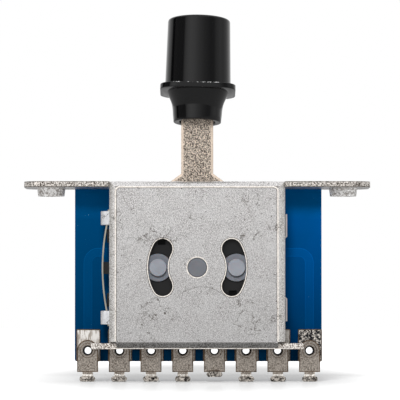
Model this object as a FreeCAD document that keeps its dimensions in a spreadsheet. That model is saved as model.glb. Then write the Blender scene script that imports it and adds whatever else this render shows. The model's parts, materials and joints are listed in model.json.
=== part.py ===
import FreeCAD, Part
import math
import os
import re

import Sketcher

# A boxed guitar pickup selector: a folded steel frame that screws under the guitar's top, a lever that
# turns a moulded rotor inside it, and a contact board with eight solder lugs behind.
# Origin: middle of the mounting plate's top face, on the line through its two screw holes.
# +Z runs up along the lever, +X to the right and -Y towards the face with the two curved slots.

SIZES = [
    ("plate_length", 48.7, "mounting plate, end to end"),
    ("plate_front", 5.3, "screw line to the plate ears' front edge"),
    ("plate_back", 5.5, "screw line to the plate's back edge"),
    ("plate_corner", 2.5, "plan radius of the plate's corners"),
    ("sheet_t", 0.8, "thickness of the frame's sheet"),
    ("bend_r", 1.05, "outside radius of the frame's bends"),
    ("screw_pitch", 41.3, "mounting screws, centre to centre"),
    ("screw_r", 1.25, "tapping radius for the mounting screws"),
    ("boss_r", 2.0, "radius of the drawn screw boss at the plate"),
    ("boss_drop", 1.15, "depth of the boss under the plate"),
    ("boss_taper", 7.0, "draft of the boss in degrees"),
    ("slot_spare", 1.36, "lever at its limit to the slot's end"),
    ("lever_slot_w", 3.2, "slot for the lever, width"),
    ("box_w", 24.68, "width over the side walls"),
    ("box_drop", 23.52, "plate's top to the bottom flange's underside"),
    ("front_y", 5.5, "screw line to the outer front face"),
    ("board_y", 3.1, "screw line to the board's front face"),
    ("relief", 0.2, "width of the bend reliefs"),
    ("ear_reach", 14.9, "middle to the end of each bottom ear"),
    ("ear_front", 4.2, "screw line to the ears' front edge"),
    ("pivot_low", 0.34, "pivot below the middle of the box's height"),
    ("pin_r", 1.34, "radius of the pivot pin"),
    ("pin_head_r", 1.9, "radius of the pin's head behind the board"),
    ("pin_head_t", 0.6, "thickness of that head"),
    ("run_gap", 0.03, "radial running gap on the pin"),
    ("slide_gap", 0.05, "gap beside pieces that slide"),
    ("kidney_r", 5.5, "pivot to the middle line of the curved slots"),
    ("kidney_w", 2.8, "width of the curved slots"),
    ("kidney_angle", 28.4, "half angle between a curved slot's end centres"),
    ("button_r", 1.22, "radius of the guide button's boss"),
    ("button_flange_r", 1.96, "radius of the guide button's flange"),
    ("button_flange_t", 0.8, "thickness of that flange"),
    ("button_recess", 0.15, "boss face behind the frame's front face"),
    ("rotor_room", 1.54, "rotor's rim to the side walls' inside"),
    ("rotor_half", 7.3, "half height of the rotor between its flats"),
    ("rotor_front", 4.2, "screw line to the rotor's front face"),
    ("rotor_back", 1.9, "screw line to the rotor's back face"),
    ("pit_out", 5.0, "pivot to the middle of a moulding pit, sideways"),
    ("pit_down", 3.9, "pivot to the middle of that pit, up or down"),
    ("pit_w", 1.1, "width of a moulding pit"),
    ("pit_rise", 1.4, "height of a moulding pit"),
    ("pit_depth", 1.6, "depth of a moulding pit"),
    ("detent_angle", 12.5, "angle from one lever position to the next"),
    ("detent_travel", 0.25, "how far the follower drops into a notch"),
    ("nose_r", 0.5, "radius of the follower's nose"),
    ("follower_rise", 1.7, "height of the follower"),
    ("follower_w", 2.0, "width of the follower, front to back"),
    ("detent_y", 1.4, "screw line to the middle of the detent parts"),
    ("leaf_t", 0.21, "thickness of the two leaf springs"),
    ("leaf_w", 2.4, "width of the detent spring"),
    ("leaf_bow_r", 31.0, "radius that the detent spring is bowed to"),
    ("leaf_bow_half", 6.75, "half height of its bowed part"),
    ("leaf_turn_r", 4.0, "radius where it comes back to the wall"),
    ("leaf_half", 8.2, "half height of the whole detent spring"),
    ("leaf_stand", 0.88, "wall to the inside of the bow"),
    ("loop_drop", 7.0, "pivot to the middle of each spring loop"),
    ("loop_rise", 1.9, "height of a spring loop"),
    ("loop_out", 1.23, "how far a loop stands out of the wall"),
    ("loop_t", 0.65, "thickness of the drawn loop"),
    ("loop_w", 4.0, "length of a loop, front to back"),
    ("loop_bend_r", 0.8, "outside radius of a loop's corners"),
    ("dimple_r", 0.4, "radius of the stop dimples under the spring"),
    ("dimple_rise", 0.3, "how far a dimple stands out of the wall"),
    ("dimple_drop", 4.4, "pivot to each stop dimple"),
    ("side_leaf_w", 1.8, "width of the right wall's leaf"),
    ("side_leaf_y", 3.1, "screw line to the middle of that leaf"),
    ("side_leaf_top", 7.5, "pivot to that leaf's ends"),
    ("side_leaf_low", 4.45, "pivot to the lower end of its outer part"),
    ("side_leaf_in", 3.4, "pivot to where it is inside the wall"),
    ("side_leaf_gap", 0.08, "wall to the leaf's outer part"),
    ("blade_t", 1.2, "thickness of the lever"),
    ("blade_w", 4.53, "width of the lever above the plate"),
    ("flare_gap", 0.305, "lever's root to the guide buttons' stems"),
    ("blade_flare_rise", 1.25, "height of the flare above the plate"),
    ("blade_root", 4.0, "pivot to the lever's lower end"),
    ("root_corner", 1.0, "radius of the root's corners"),
    ("blade_bevel", 0.32, "bevel along the lever's edges"),
    ("tang_w", 3.3, "width of the lever's end inside the knob"),
    ("tang_rise", 9.0, "length of that end"),
    ("tang_corner", 0.5, "chamfer of that end's corners"),
    ("knob_rise", 14.8, "height of the knob"),
    ("knob_foot", 8.48, "plate's top to the knob's foot"),
    ("knob_top_r", 4.42, "radius of the knob's body at its top"),
    ("knob_low_r", 4.66, "radius of the knob's body at its flange"),
    ("knob_round", 0.3, "chamfer of the knob's top edge"),
    ("flange_w", 10.66, "width of the knob's flange"),
    ("flange_d", 9.7, "depth of the flange, front to back"),
    ("flange_corner", 2.5, "plan radius of the flange's corners"),
    ("flange_chamfer", 0.12, "chamfer of the flange's edges"),
    ("flange_low", 4.28, "knob's foot to its flange"),
    ("flange_t", 0.76, "thickness of the knob's flange"),
    ("skirt_r", 3.42, "radius of the knob's skirt at its foot"),
    ("skirt_draft", 0.12, "how much wider the skirt is at its waist"),
    ("foot_chamfer", 0.3, "chamfer of the skirt's foot"),
    ("skirt_waist", 1.8, "height where the skirt starts to spread"),
    ("skirt_mid", 2.65, "height where the skirt spreads faster"),
    ("skirt_mid_r", 3.67, "radius of the skirt there"),
    ("skirt_high", 3.5, "height where the skirt spreads fastest"),
    ("skirt_high_r", 3.94, "radius of the skirt there"),
    ("skirt_top_r", 4.36, "radius of the skirt under the flange"),
    ("mouth_r", 2.55, "radius of the opening in the knob's foot"),
    ("mouth_depth", 1.3, "depth of that opening"),
    ("lean_back", 6.8, "how far the loose knob leans back, degrees"),
    ("lean_right", 1.1, "how far the loose knob leans right, degrees"),
    ("board_w", 35.1, "width of the board"),
    ("board_hang", 1.78, "board's lower edge below the frame's bottom"),
    ("board_corner", 0.3, "plan radius of the board's lower corners"),
    ("board_t", 1.6, "thickness of the board"),
    ("board_shift", 0.15, "how far the board sits right of the middle"),
    ("tab_rise", 2.6, "height of the frame's board tabs"),
    ("tab_drop", 6.2, "pivot to the middle of each board tab"),
    ("tab_reach", 1.5, "length of a tab's bent end"),
    ("band_w", 1.15, "width of the long tracks under the coating"),
    ("band_t", 0.06, "how far those tracks stand up"),
    ("band_drop", 9.8, "plate's top to the middle of the long tracks"),
    ("track_t", 0.05, "thickness of the silvered arcs"),
    ("track_in_r", 3.55, "pivot to the middle of the inner arcs"),
    ("track_out_r", 7.45, "pivot to the middle of the outer arcs"),
    ("track_w", 1.3, "width of the arcs"),
    ("track_gap", 1.5, "half gap between outer arcs, degrees"),
    ("wiper_w", 1.6, "width of a wiper"),
    ("wiper_t", 0.2, "thickness of a wiper"),
    ("wiper_foot", 0.55, "half length of a wiper's foot"),
    ("lug_pitch", 4.5, "lug to lug"),
    ("lug_shift", 0.2, "how far the row of lugs sits right of the middle"),
    ("lug_w", 2.95, "width of a lug"),
    ("lug_t", 0.75, "thickness of a lug"),
    ("lug_hole_hang", 0.25, "lug's hole below the frame's bottom"),
    ("lug_hole_r", 0.675, "radius of the lug's hole"),
    ("lug_hang", 3.24, "lug's shoulders below the frame's bottom"),
    ("foot_hang", 4.63, "underside of a lug's foot below the frame's bottom"),
    ("foot_reach", 1.5, "how far a foot runs forward of its lug"),
    ("foot_bend_r", 0.25, "inside radius of the foot's bend"),
    ("foot_neck_w", 1.52, "width of the neck"),
    ("foot_head_w", 2.18, "width of the foot's head"),
    ("foot_head_t", 0.65, "length of the foot's head"),
    ("foot_head_corner", 0.2, "chamfer of the head's corners"),
    ("fifth_lift", 0.65, "how much higher the fifth lug's foot is bent"),
    ("pad_w", 3.38, "width of a solder pad"),
    ("pad_rise", 4.55, "height of a solder pad"),
    ("pad_t", 0.15, "thickness of a solder pad"),
    ("pad_shift", 0.08, "how far a pad sits right of its lug"),
    ("board_hole_r", 0.5, "radius of the board's hole behind a lug"),
]
# Lengths that follow from the sizes, so that the pieces they place move together.
RELATIONS = {
    "pivot_drop": "box_drop / 2 + pivot_low",
    "swing": "2 * detent_angle",
    "lever_slot_length": "2 * (pivot_drop * tan(swing) + blade_w / 2 / cos(swing) + slot_spare)",
    "rotor_r": "box_w / 2 - sheet_t - rotor_room",
    "blade_flare_w": "2 * (kidney_r - button_r - flare_gap)",
    "board_bottom": "box_drop + board_hang",
    "lug_hole_drop": "box_drop + lug_hole_hang",
    "lug_drop": "box_drop + lug_hang",
    "foot_drop": "box_drop + foot_hang",
}
LUG_COUNT = 8
BOARD_HOLE_SIDES = 12
NOTCH_STEPS = (-2, -1, 0, 1, 2)
SIDES = {"left": -1, "right": 1}

doc = FreeCAD.newDocument("PickupSelector")
sheet = doc.addObject("Spreadsheet::Sheet", "Sizes")
for row, (word, value, meaning) in enumerate(SIZES, start=1):
    sheet.set(f"A{row}", str(value))
    sheet.setAlias(f"A{row}", word)
    sheet.set(f"B{row}", meaning)
doc.recompute()

ALIASES = {word for word, value, meaning in SIZES}
probe = doc.addObject("App::FeaturePython", "Probe")
probe.addProperty("App::PropertyFloat", "Value")


def tie(text):
    """The expression with each relation written out and each size's word pointing at its cell."""

    def cell(match):
        word = match[0]
        if word in RELATIONS:
            return f"({tie(RELATIONS[word])})"
        return f"Sizes.{word}" if word in ALIASES else word

    return re.sub(r"[a-z_]+", cell, text)


def bind(thing, path, text):
    thing.setExpression(path, tie(text))


def number(text):
    """What an expression comes to now, for a sketch's first guess."""
    bind(probe, "Value", text)
    probe.recompute()
    return probe.Value


def place(thing, x="0", y="0", z="0"):
    for axis, text in zip("xyz", (x, y, z)):
        if text != "0":
            bind(thing, f"Placement.Base.{axis}", text)


# Sketches: a loop is a list of corners. A corner is (x, y), or (x, y, r) when an arc of radius r leads
# to it: r above 0 turns left, r below 0 turns right. A circle is ("circle", x, y, r).


def arc_between(start, end, radius):
    """The arc from start to end and whether it runs backwards in the sketch."""
    gap = end - start
    half = gap.Length / 2
    rise = math.sqrt(max(radius * radius - half * half, 0))
    left = FreeCAD.Vector(-gap.y, gap.x, 0).normalize()
    centre = start + gap / 2 + left * math.copysign(rise, radius)
    first, last = (start, end) if radius > 0 else (end, start)
    angles = [math.atan2(p.y - centre.y, p.x - centre.x) for p in (first, last)]
    if angles[1] < angles[0]:
        angles[1] += 2 * math.pi
    circle = Part.Circle(centre, FreeCAD.Vector(0, 0, 1), abs(radius))
    return Part.ArcOfCircle(circle, *angles), radius < 0


def fix_point(sketch, geometry, point, x, y):
    for kind, text in (("DistanceX", x), ("DistanceY", y)):
        index = sketch.addConstraint(Sketcher.Constraint(kind, -1, 1, geometry, point, number(text)))
        bind(sketch, f"Constraints[{index}]", text)


def draw_circle(sketch, x, y, r):
    centre = FreeCAD.Vector(number(x), number(y), 0)
    geometry = sketch.addGeometry(Part.Circle(centre, FreeCAD.Vector(0, 0, 1), number(r)))
    fix_point(sketch, geometry, 3, x, y)
    index = sketch.addConstraint(Sketcher.Constraint("Radius", geometry, number(r)))
    bind(sketch, f"Constraints[{index}]", r)


def draw_path(sketch, corners, closed=True):
    spots = [FreeCAD.Vector(number(c[0]), number(c[1]), 0) for c in corners]
    runs = list(range(len(corners))) if closed else list(range(1, len(corners)))
    ends = []
    for here in runs:
        start, end, corner = spots[here - 1], spots[here], corners[here]
        if len(corner) == 2:
            geometry = sketch.addGeometry(Part.LineSegment(start, end))
            ends.append((geometry, 1, 2))
            continue
        arc, backwards = arc_between(start, end, number(corner[2]))
        geometry = sketch.addGeometry(arc)
        ends.append((geometry, 2, 1) if backwards else (geometry, 1, 2))
        index = sketch.addConstraint(Sketcher.Constraint("Radius", geometry, abs(number(corner[2]))))
        bind(sketch, f"Constraints[{index}]", f"abs({corner[2]})")
    for (geometry, first, last), here in zip(ends, runs):
        fix_point(sketch, geometry, last, corners[here][0], corners[here][1])
    for before, after in zip(ends, ends[1:]):
        sketch.addConstraint(Sketcher.Constraint("Coincident", before[0], before[2], after[0], after[1]))
    if closed:
        before, after = ends[-1], ends[0]
        sketch.addConstraint(Sketcher.Constraint("Coincident", before[0], before[2], after[0], after[1]))
    else:
        fix_point(sketch, ends[0][0], ends[0][1], corners[0][0], corners[0][1])


def draw(sketch, loops):
    for loop in loops:
        if loop[0] == "circle":
            draw_circle(sketch, *loop[1:])
        else:
            draw_path(sketch, loop)
    return sketch


def body_named(label):
    body = doc.addObject("PartDesign::Body", label)
    body.Label = label
    return body


def sketch_on(body, name, plane, level, loops):
    """A sketch on one of the body's own planes. Level is along the plane's normal: +Z, -Y or +X."""
    sketch = body.newObject("Sketcher::SketchObject", name)
    role = f"{plane}_Plane"
    sketch.AttachmentSupport = [(next(f for f in body.Origin.OriginFeatures if f.Role == role), "")]
    sketch.MapMode = "FlatFace"
    bind(sketch, "AttachmentOffset.Base.z", level)
    return draw(sketch, loops)


def feature(body, kind, sketch, length, backwards=False, taper=None):
    made = body.newObject(f"PartDesign::{kind}", f"{sketch.Name}_{kind}")
    made.Profile = sketch
    bind(made, "Length", length)
    made.Reversed = backwards
    if taper:
        bind(made, "TaperAngle", taper)
    doc.recompute()
    return made


def pad(body, name, plane, level, loops, length, backwards=False, taper=None):
    return feature(body, "Pad", sketch_on(body, name, plane, level, loops), length, backwards, taper)


def pocket(body, name, plane, level, loops, length, backwards=False):
    return feature(body, "Pocket", sketch_on(body, name, plane, level, loops), length, backwards)


def block(body, kind, name, low, high):
    """A box feature, from its low corner to its high corner."""
    made = body.newObject(f"PartDesign::{kind}Box", name)
    for side, axis, a, b in zip(("Length", "Width", "Height"), "xyz", low, high):
        bind(made, f"Placement.Base.{axis}", a)
        bind(made, side, f"({b}) - ({a})")
    doc.recompute()
    return made


def dress(body, kind, name, edges, size):
    """A fillet or chamfer on the edges that the rule picks."""
    base = body.Tip
    made = body.newObject(f"PartDesign::{kind}", name)
    names = [f"Edge{n}" for n, edge in enumerate(base.Shape.Edges, start=1) if edges(edge)]
    made.Base = (base, names)
    bind(made, "Radius" if kind == "Fillet" else "Size", size)
    doc.recompute()
    return made


def all_at(edge, axis, value, slack=1e-4):
    return all(abs(getattr(v.Point, axis) - value) < slack for v in edge.Vertexes)


def revolved(label, corners):
    """A body turned about Z from half of its section, drawn as radius and height."""
    body = body_named(label)
    sketch = sketch_on(body, f"{label}_section", "XZ", "0", [corners])
    made = body.newObject("PartDesign::Revolution", f"{label}_turn")
    made.Profile = sketch
    made.ReferenceAxis = (sketch, ["V_Axis"])
    made.Angle = 360
    doc.recompute()
    return body


def flat_sketch(name, loops, turned=True):
    """A free sketch, standing upright in X and Z when turned."""
    sketch = doc.addObject("Sketcher::SketchObject", name)
    if turned:
        sketch.Placement.Rotation = FreeCAD.Rotation(FreeCAD.Vector(1, 0, 0), 90)
    return draw(sketch, loops) if loops else sketch


def extrusion(label, base, length, way=(0, -1, 0)):
    made = doc.addObject("Part::Extrusion", label)
    made.Label = label
    made.Base = base
    made.DirMode = "Custom"
    made.Dir = way
    bind(made, "LengthFwd", length)
    made.Solid = True
    return made


def bent_strip(label, path, thickness, width, turned=True):
    """A strip bent along an open path, with its thickness to one side of it."""
    way = (0, -1, 0) if turned else (0, 0, 1)
    sketch = flat_sketch(f"{label}_path", [], turned)
    draw_path(sketch, path, closed=False)
    outline = doc.addObject("Part::Offset2D", f"{label}_outline")
    outline.Source = sketch
    bind(outline, "Value", thickness)
    outline.Mode = "Skin"
    outline.Fill = True
    outline.Join = "Intersection"
    made = extrusion(label, outline, width, way)
    return sketch, made


# Frame: one sheet of nickel-plated steel. The front face is bent back on four sides, into the mounting
# plate above, the two side walls and the bottom flange.


def frame_box(frame):
    half = "box_w / 2"
    outline = [(f"-{half}", "-box_drop"), (half, "-box_drop"), (half, "0"), (f"-{half}", "0")]
    pad(frame, "box", "XZ", "-board_y", [outline], "front_y + board_y")
    front = -number("front_y")
    dress(frame, "Fillet", "front_bends", lambda edge: all_at(edge, "y", front), "bend_r")
    base, back = frame.Tip, number("board_y")
    hollow = frame.newObject("PartDesign::Thickness", "box_walls")
    face = next(n for n, f in enumerate(base.Shape.Faces, 1) if abs(f.BoundBox.YMin - back) < 1e-4)
    hollow.Base = (base, [f"Face{face}"])
    bind(hollow, "Value", "sheet_t")
    hollow.Reversed = True
    hollow.Join = "Arc"
    doc.recompute()


def frame_plate(frame):
    end, corner = "plate_length / 2", "plate_corner"
    beside = "(box_w / 2 + relief / 2)"
    bend = "-front_y + bend_r"
    outline = [
        (f"-{end} + {corner}", "-plate_front", corner),
        (f"-{beside}", "-plate_front"),
        (f"-{beside}", bend),
        (beside, bend),
        (beside, "-plate_front"),
        (f"{end} - {corner}", "-plate_front"),
        (end, f"-plate_front + {corner}", corner),
        (end, f"plate_back - {corner}"),
        (f"{end} - {corner}", "plate_back", corner),
        (f"-{end} + {corner}", "plate_back"),
        (f"-{end}", f"plate_back - {corner}", corner),
        (f"-{end}", f"-plate_front + {corner}"),
    ]
    pad(frame, "plate", "XY", "0", [outline], "sheet_t", backwards=True)
    centres = ["-screw_pitch / 2", "screw_pitch / 2"]
    bosses = [("circle", x, "0", "boss_r") for x in centres]
    pad(frame, "bosses", "XY", "-sheet_t", bosses, "boss_drop", backwards=True, taper="-boss_taper")
    holes = [("circle", x, "0", "screw_r") for x in centres]
    pocket(frame, "screw_holes", "XY", "0", holes, "sheet_t + boss_drop * 1.5")
    straight, round_end = "(lever_slot_length - lever_slot_w) / 2", "lever_slot_w / 2"
    slot = [
        (f"-{straight}", f"-{round_end}", round_end),
        (straight, f"-{round_end}"),
        (f"{straight} + {round_end}", "0", round_end),
        (straight, round_end, round_end),
        (f"-{straight}", round_end),
        (f"-{straight} - {round_end}", "0", round_end),
    ]
    pocket(frame, "lever_slot", "XY", "0", [slot], "sheet_t * 1.5")


def frame_bottom(frame):
    low, high = "-box_drop", "-box_drop + sheet_t"
    back = "board_y - pad_t - lug_t - slide_gap"
    step = "-board_bottom + pad_rise + slide_gap"
    block(frame, "Subtractive", "lug_room", ("-box_w / 2", back, low), ("box_w / 2", "board_y", step))
    for side, sign in SIDES.items():
        inner = "box_w / 2 - bend_r"
        low_x = "-box_w / 2" if sign < 0 else inner
        high_x = f"-({inner})" if sign < 0 else "box_w / 2"
        corner_low, corner_high = (low_x, "-front_y", low), (high_x, "-ear_front", f"{high} + relief")
        block(frame, "Subtractive", f"corner_relief_{side}", corner_low, corner_high)
        slit_low, slit_high = (low_x, "-ear_front", high), (high_x, back, f"{high} + relief")
        block(frame, "Subtractive", f"wall_slit_{side}", slit_low, slit_high)
    ears = [
        ("-ear_reach", "-ear_front"),
        ("ear_reach", "-ear_front"),
        ("ear_reach", back),
        ("-ear_reach", back),
    ]
    pad(frame, "ears", "XY", low, [ears], "sheet_t")


def kidney(sign):
    """A slot that follows a circle about the pivot, on the left or the right."""
    inner, outer = "(kidney_r - kidney_w / 2)", "(kidney_r + kidney_w / 2)"
    cap = "kidney_w / 2"
    up, out = "sin(kidney_angle)", f"{sign} * cos(kidney_angle)"
    tip = f"-pivot_drop + kidney_r * {up} + {cap} * cos(kidney_angle)"
    tip_x = f"kidney_r * {out} - {sign} * {cap} * {up}"
    low_tip = f"-pivot_drop - kidney_r * {up} - {cap} * cos(kidney_angle)"
    turn = sign
    return [
        (f"{outer} * {out}", f"-pivot_drop + {outer} * {up}", f"{turn} * {outer}"),
        (tip_x, tip, f"{turn} * {cap}"),
        (f"{inner} * {out}", f"-pivot_drop + {inner} * {up}", f"{turn} * {cap}"),
        (f"{inner} * {out}", f"-pivot_drop - {inner} * {up}", f"-{turn} * {inner}"),
        (tip_x, low_tip, f"{turn} * {cap}"),
        (f"{outer} * {out}", f"-pivot_drop - {outer} * {up}", f"{turn} * {cap}"),
    ]


def frame_face(frame):
    loops = [kidney("-1"), kidney("1"), ("circle", "0", "-pivot_drop", "pin_r + run_gap")]
    pocket(frame, "face_openings", "XZ", "front_y", loops, "sheet_t * 1.2")


def frame_left_wall(frame):
    wall, out = "-box_w / 2", "-box_w / 2 - loop_out"
    front, back = "(-detent_y - loop_w / 2)", "(-detent_y + loop_w / 2)"
    turn, inside = "loop_bend_r", "(loop_bend_r - loop_t)"
    root = f"{wall} + relief"
    loop = [
        (root, front),
        (root, f"{front} + loop_t"),
        (f"{out} + {turn}", f"{front} + loop_t"),
        (f"{out} + loop_t", f"{front} + {turn}", f"-{inside}"),
        (f"{out} + loop_t", f"{back} - {turn}"),
        (f"{out} + {turn}", f"{back} - loop_t", f"-{inside}"),
        (root, f"{back} - loop_t"),
        (root, back),
        (f"{out} + {turn}", back),
        (out, f"{back} - {turn}", turn),
        (out, f"{front} + {turn}"),
        (f"{out} + {turn}", front, turn),
    ]
    for name, sign in (("upper", "1"), ("lower", "-1")):
        middle = f"-pivot_drop + {sign} * loop_drop"
        low, high = f"{middle} - loop_rise / 2", f"{middle} + loop_rise / 2"
        window_low = (wall, f"{front} + loop_t", f"{low} + relief")
        window_high = (f"{wall} + sheet_t", f"{back} - loop_t", f"{high} - relief")
        block(frame, "Subtractive", f"{name}_loop_window", window_low, window_high)
        pad(frame, f"{name}_loop", "XY", low, [loop], "loop_rise")
        dimple = frame.newObject("PartDesign::AdditiveCylinder", f"{name}_dimple")
        bind(dimple, "Radius", "dimple_r")
        bind(dimple, "Height", "dimple_rise + relief")
        dimple.Placement.Rotation = FreeCAD.Rotation(FreeCAD.Vector(0, 1, 0), -90)
        place(dimple, root, "-detent_y", f"-pivot_drop + {sign} * dimple_drop")
        doc.recompute()
    half_w, half_rise = "(follower_w / 2 + slide_gap)", "(follower_rise / 2 + slide_gap)"
    window_low = (wall, f"-detent_y - {half_w}", f"-pivot_drop - {half_rise}")
    window_high = (f"{wall} + sheet_t", f"-detent_y + {half_w}", f"-pivot_drop + {half_rise}")
    block(frame, "Subtractive", "follower_window", window_low, window_high)


def frame_right_wall(frame):
    front = "-side_leaf_y - side_leaf_w / 2 - slide_gap"
    back = "-side_leaf_y + side_leaf_w / 2 + slide_gap"
    for name, sign in (("upper", 1), ("lower", -1)):
        near, far = "side_leaf_in - slide_gap * 6", "side_leaf_top + slide_gap"
        low = f"-pivot_drop + {near}" if sign > 0 else f"-pivot_drop - ({far})"
        high = f"-pivot_drop + {far}" if sign > 0 else f"-pivot_drop - ({near})"
        window_low = ("box_w / 2 - sheet_t", front, low)
        window_high = ("box_w / 2", back, high)
        block(frame, "Subtractive", f"{name}_leaf_window", window_low, window_high)


def frame_board_tabs(frame):
    """Tabs of the side walls that pass through the board and are bent outwards behind it."""
    behind = "(board_y + board_t + slide_gap)"
    bend = "relief"
    for side, sign in SIDES.items():
        inner, outer = f"{sign} * (box_w / 2 - sheet_t)", f"{sign} * box_w / 2"
        end = f"{sign} * (box_w / 2 + tab_reach)"
        turn = f"{-sign} * (sheet_t + {bend})"
        tab = [
            (inner, "board_y - sheet_t"),
            (inner, f"{behind} - {bend}"),
            (f"{outer} + {sign} * {bend}", f"{behind} + sheet_t", turn),
            (end, f"{behind} + sheet_t"),
            (end, behind),
            (f"{outer} + {sign} * {bend}", behind),
            (outer, f"{behind} - {bend}", f"{sign} * {bend}"),
            (outer, "board_y - sheet_t"),
        ]
        for name, way in (("upper", "1"), ("lower", "-1")):
            low = f"-pivot_drop + {way} * tab_drop - tab_rise / 2"
            pad(frame, f"{name}_tab_{side}", "XY", low, [tab], "tab_rise")


def make_frame():
    frame = body_named("frame")
    frame_box(frame)
    frame_plate(frame)
    frame_bottom(frame)
    frame_face(frame)
    frame_left_wall(frame)
    frame_right_wall(frame)
    frame_board_tabs(frame)
    return frame


# Pivot pin: turned nylon, pressed into the front face and headed over behind the board.


def make_pivot_pin():
    behind = "board_y + board_t + slide_gap"
    body = revolved(
        "pivot_pin",
        [
            ("0", "-front_y + run_gap"),
            ("pin_r - relief / 2", "-front_y + run_gap"),
            ("pin_r", "-front_y + run_gap + relief / 2"),
            ("pin_r", behind),
            ("pin_head_r", behind),
            ("pin_head_r", f"{behind} + pin_head_t"),
            ("0", f"{behind} + pin_head_t"),
        ],
    )
    body.Placement.Rotation = FreeCAD.Rotation(FreeCAD.Vector(1, 0, 0), -90)
    place(body, z="-pivot_drop")
    return body


# Guide buttons: stepped white nylon, carried by the rotor. The flange slides on the inside of the front
# face and the boss runs in the curved slot. The stem is pushed forward by the wiper.


def make_guide_button(side):
    face = "-front_y + sheet_t + slide_gap"
    body = revolved(
        f"guide_button_{side}",
        [
            ("0", "-front_y + button_recess"),
            ("button_r", "-front_y + button_recess"),
            ("button_r", face),
            ("button_flange_r", face),
            ("button_flange_r", f"{face} + button_flange_t"),
            ("button_r - slide_gap", f"{face} + button_flange_t"),
            ("button_r - slide_gap", "rotor_back - wiper_t * 4 - slide_gap"),
            ("0", "rotor_back - wiper_t * 4 - slide_gap"),
        ],
    )
    body.Placement.Rotation = FreeCAD.Rotation(FreeCAD.Vector(1, 0, 0), -90)
    place(body, x=f"{SIDES[side]} * kidney_r", z="-pivot_drop")
    return body


# Rotor: one black moulding that turns on the pin. Its rim has five notches on the left, its middle
# grips the lever, and each side holds a guide button in front and a wiper behind.


def make_rotor():
    rotor = body_named("rotor")
    side_x = "sqrt(rotor_r ^ 2 - rotor_half ^ 2)"
    top, foot = "-pivot_drop + rotor_half", "-pivot_drop - rotor_half"
    outline = [
        (f"-{side_x}", foot, "rotor_r"),
        (side_x, foot),
        (side_x, top, "rotor_r"),
        (f"-{side_x}", top),
    ]
    pad(rotor, "rotor_disc", "XZ", "-rotor_back", [outline], "rotor_back + rotor_front")
    reach = "(rotor_r + slide_gap + nose_r - detent_travel)"
    notches = [
        (
            "circle",
            f"-{reach} * cos({step} * detent_angle)",
            f"-pivot_drop + {reach} * sin({step} * detent_angle)",
            "nose_r + slide_gap",
        )
        for step in NOTCH_STEPS
    ]
    pocket(rotor, "notches", "XZ", "rotor_front", notches, "rotor_front + rotor_back")
    grip = "blade_flare_w / 2 + slide_gap"
    block(
        rotor,
        "Subtractive",
        "lever_grip",
        (f"-({grip})", "-blade_t / 2 - slide_gap", "-pivot_drop - blade_root - slide_gap"),
        (grip, "blade_t / 2 + slide_gap", "-pivot_drop + rotor_r"),
    )
    hole = [("circle", "0", "-pivot_drop", "pin_r + run_gap")]
    pocket(rotor, "pin_hole", "XZ", "rotor_front", hole, "rotor_front + rotor_back")
    centres = [f"{sign} * kidney_r" for sign in SIDES.values()]
    seats = [("circle", x, "-pivot_drop", "button_flange_r + slide_gap") for x in centres]
    depth = "rotor_front - front_y + sheet_t + slide_gap * 2 + button_flange_t"
    pocket(rotor, "button_seats", "XZ", "rotor_front", seats, depth)
    bores = [("circle", x, "-pivot_drop", "button_r") for x in centres]
    pocket(rotor, "button_bores", "XZ", "rotor_front", bores, "rotor_front + rotor_back")
    for side, sign in SIDES.items():
        reach_x = "(track_out_r - track_in_r) / 2 + wiper_foot + slide_gap * 2"
        middle = f"{sign} * (track_out_r + track_in_r) / 2"
        low = (f"{middle} - ({reach_x})", "rotor_back - wiper_t * 4", "-pivot_drop - wiper_w / 2 - slide_gap")
        high = (f"{middle} + ({reach_x})", "rotor_back", "-pivot_drop + wiper_w / 2 + slide_gap")
        block(rotor, "Subtractive", f"wiper_seat_{side}", low, high)
        pit_x, pit_z = f"{sign} * pit_out", f"-pivot_drop - {sign} * pit_down"
        low = (f"{pit_x} - pit_w / 2", "-rotor_front", f"{pit_z} - pit_rise / 2")
        high = (f"{pit_x} + pit_w / 2", "-rotor_front + pit_depth", f"{pit_z} + pit_rise / 2")
        block(rotor, "Subtractive", f"moulding_pit_{side}", low, high)
    return rotor


# Lever: stamped from steel sheet, with a flared root that the rotor grips and a narrow tang for the knob.


def make_lever():
    lever = body_named("lever")
    root, shank, tang = "blade_flare_w / 2", "blade_w / 2", "tang_w / 2"
    foot, top = "-pivot_drop - blade_root", "knob_foot + tang_rise"
    shoulder = "knob_foot + mouth_depth - relief"
    outline = [
        (f"-{root}", f"{foot} + root_corner"),
        (f"-{root} + root_corner", foot, "root_corner"),
        (f"{root} - root_corner", foot),
        (root, f"{foot} + root_corner", "root_corner"),
        (root, "0"),
        (shank, "blade_flare_rise"),
        (shank, shoulder),
        (tang, shoulder),
        (tang, f"{top} - tang_corner"),
        (f"{tang} - tang_corner", top),
        (f"-{tang} + tang_corner", top),
        (f"-{tang}", f"{top} - tang_corner"),
        (f"-{tang}", shoulder),
        (f"-{shank}", shoulder),
        (f"-{shank}", "blade_flare_rise"),
        (f"-{root}", "0"),
    ]
    pad(lever, "blade", "XZ", "-blade_t / 2", [outline], "blade_t")
    hole = [("circle", "0", "-pivot_drop", "pin_r + run_gap")]
    pocket(lever, "blade_hole", "XZ", "blade_t / 2", hole, "blade_t * 1.2")
    low, high = -0.01, number(shoulder) + 0.01
    half = number("blade_t / 2")

    def bevelled(edge):
        zs = [v.Point.z for v in edge.Vertexes]
        flat = all(abs(abs(v.Point.y) - half) < 1e-4 for v in edge.Vertexes)
        return flat and min(zs) > low and max(zs) < high and max(zs) - min(zs) > 0.1

    dress(lever, "Chamfer", "blade_bevels", bevelled, "blade_bevel")
    return lever


# Knob: glossy black moulding pushed on the lever. A turned body and a hollow-curved skirt meet at a
# squarish flange with round corners. The knob is a loose fit and leans a little.


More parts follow.
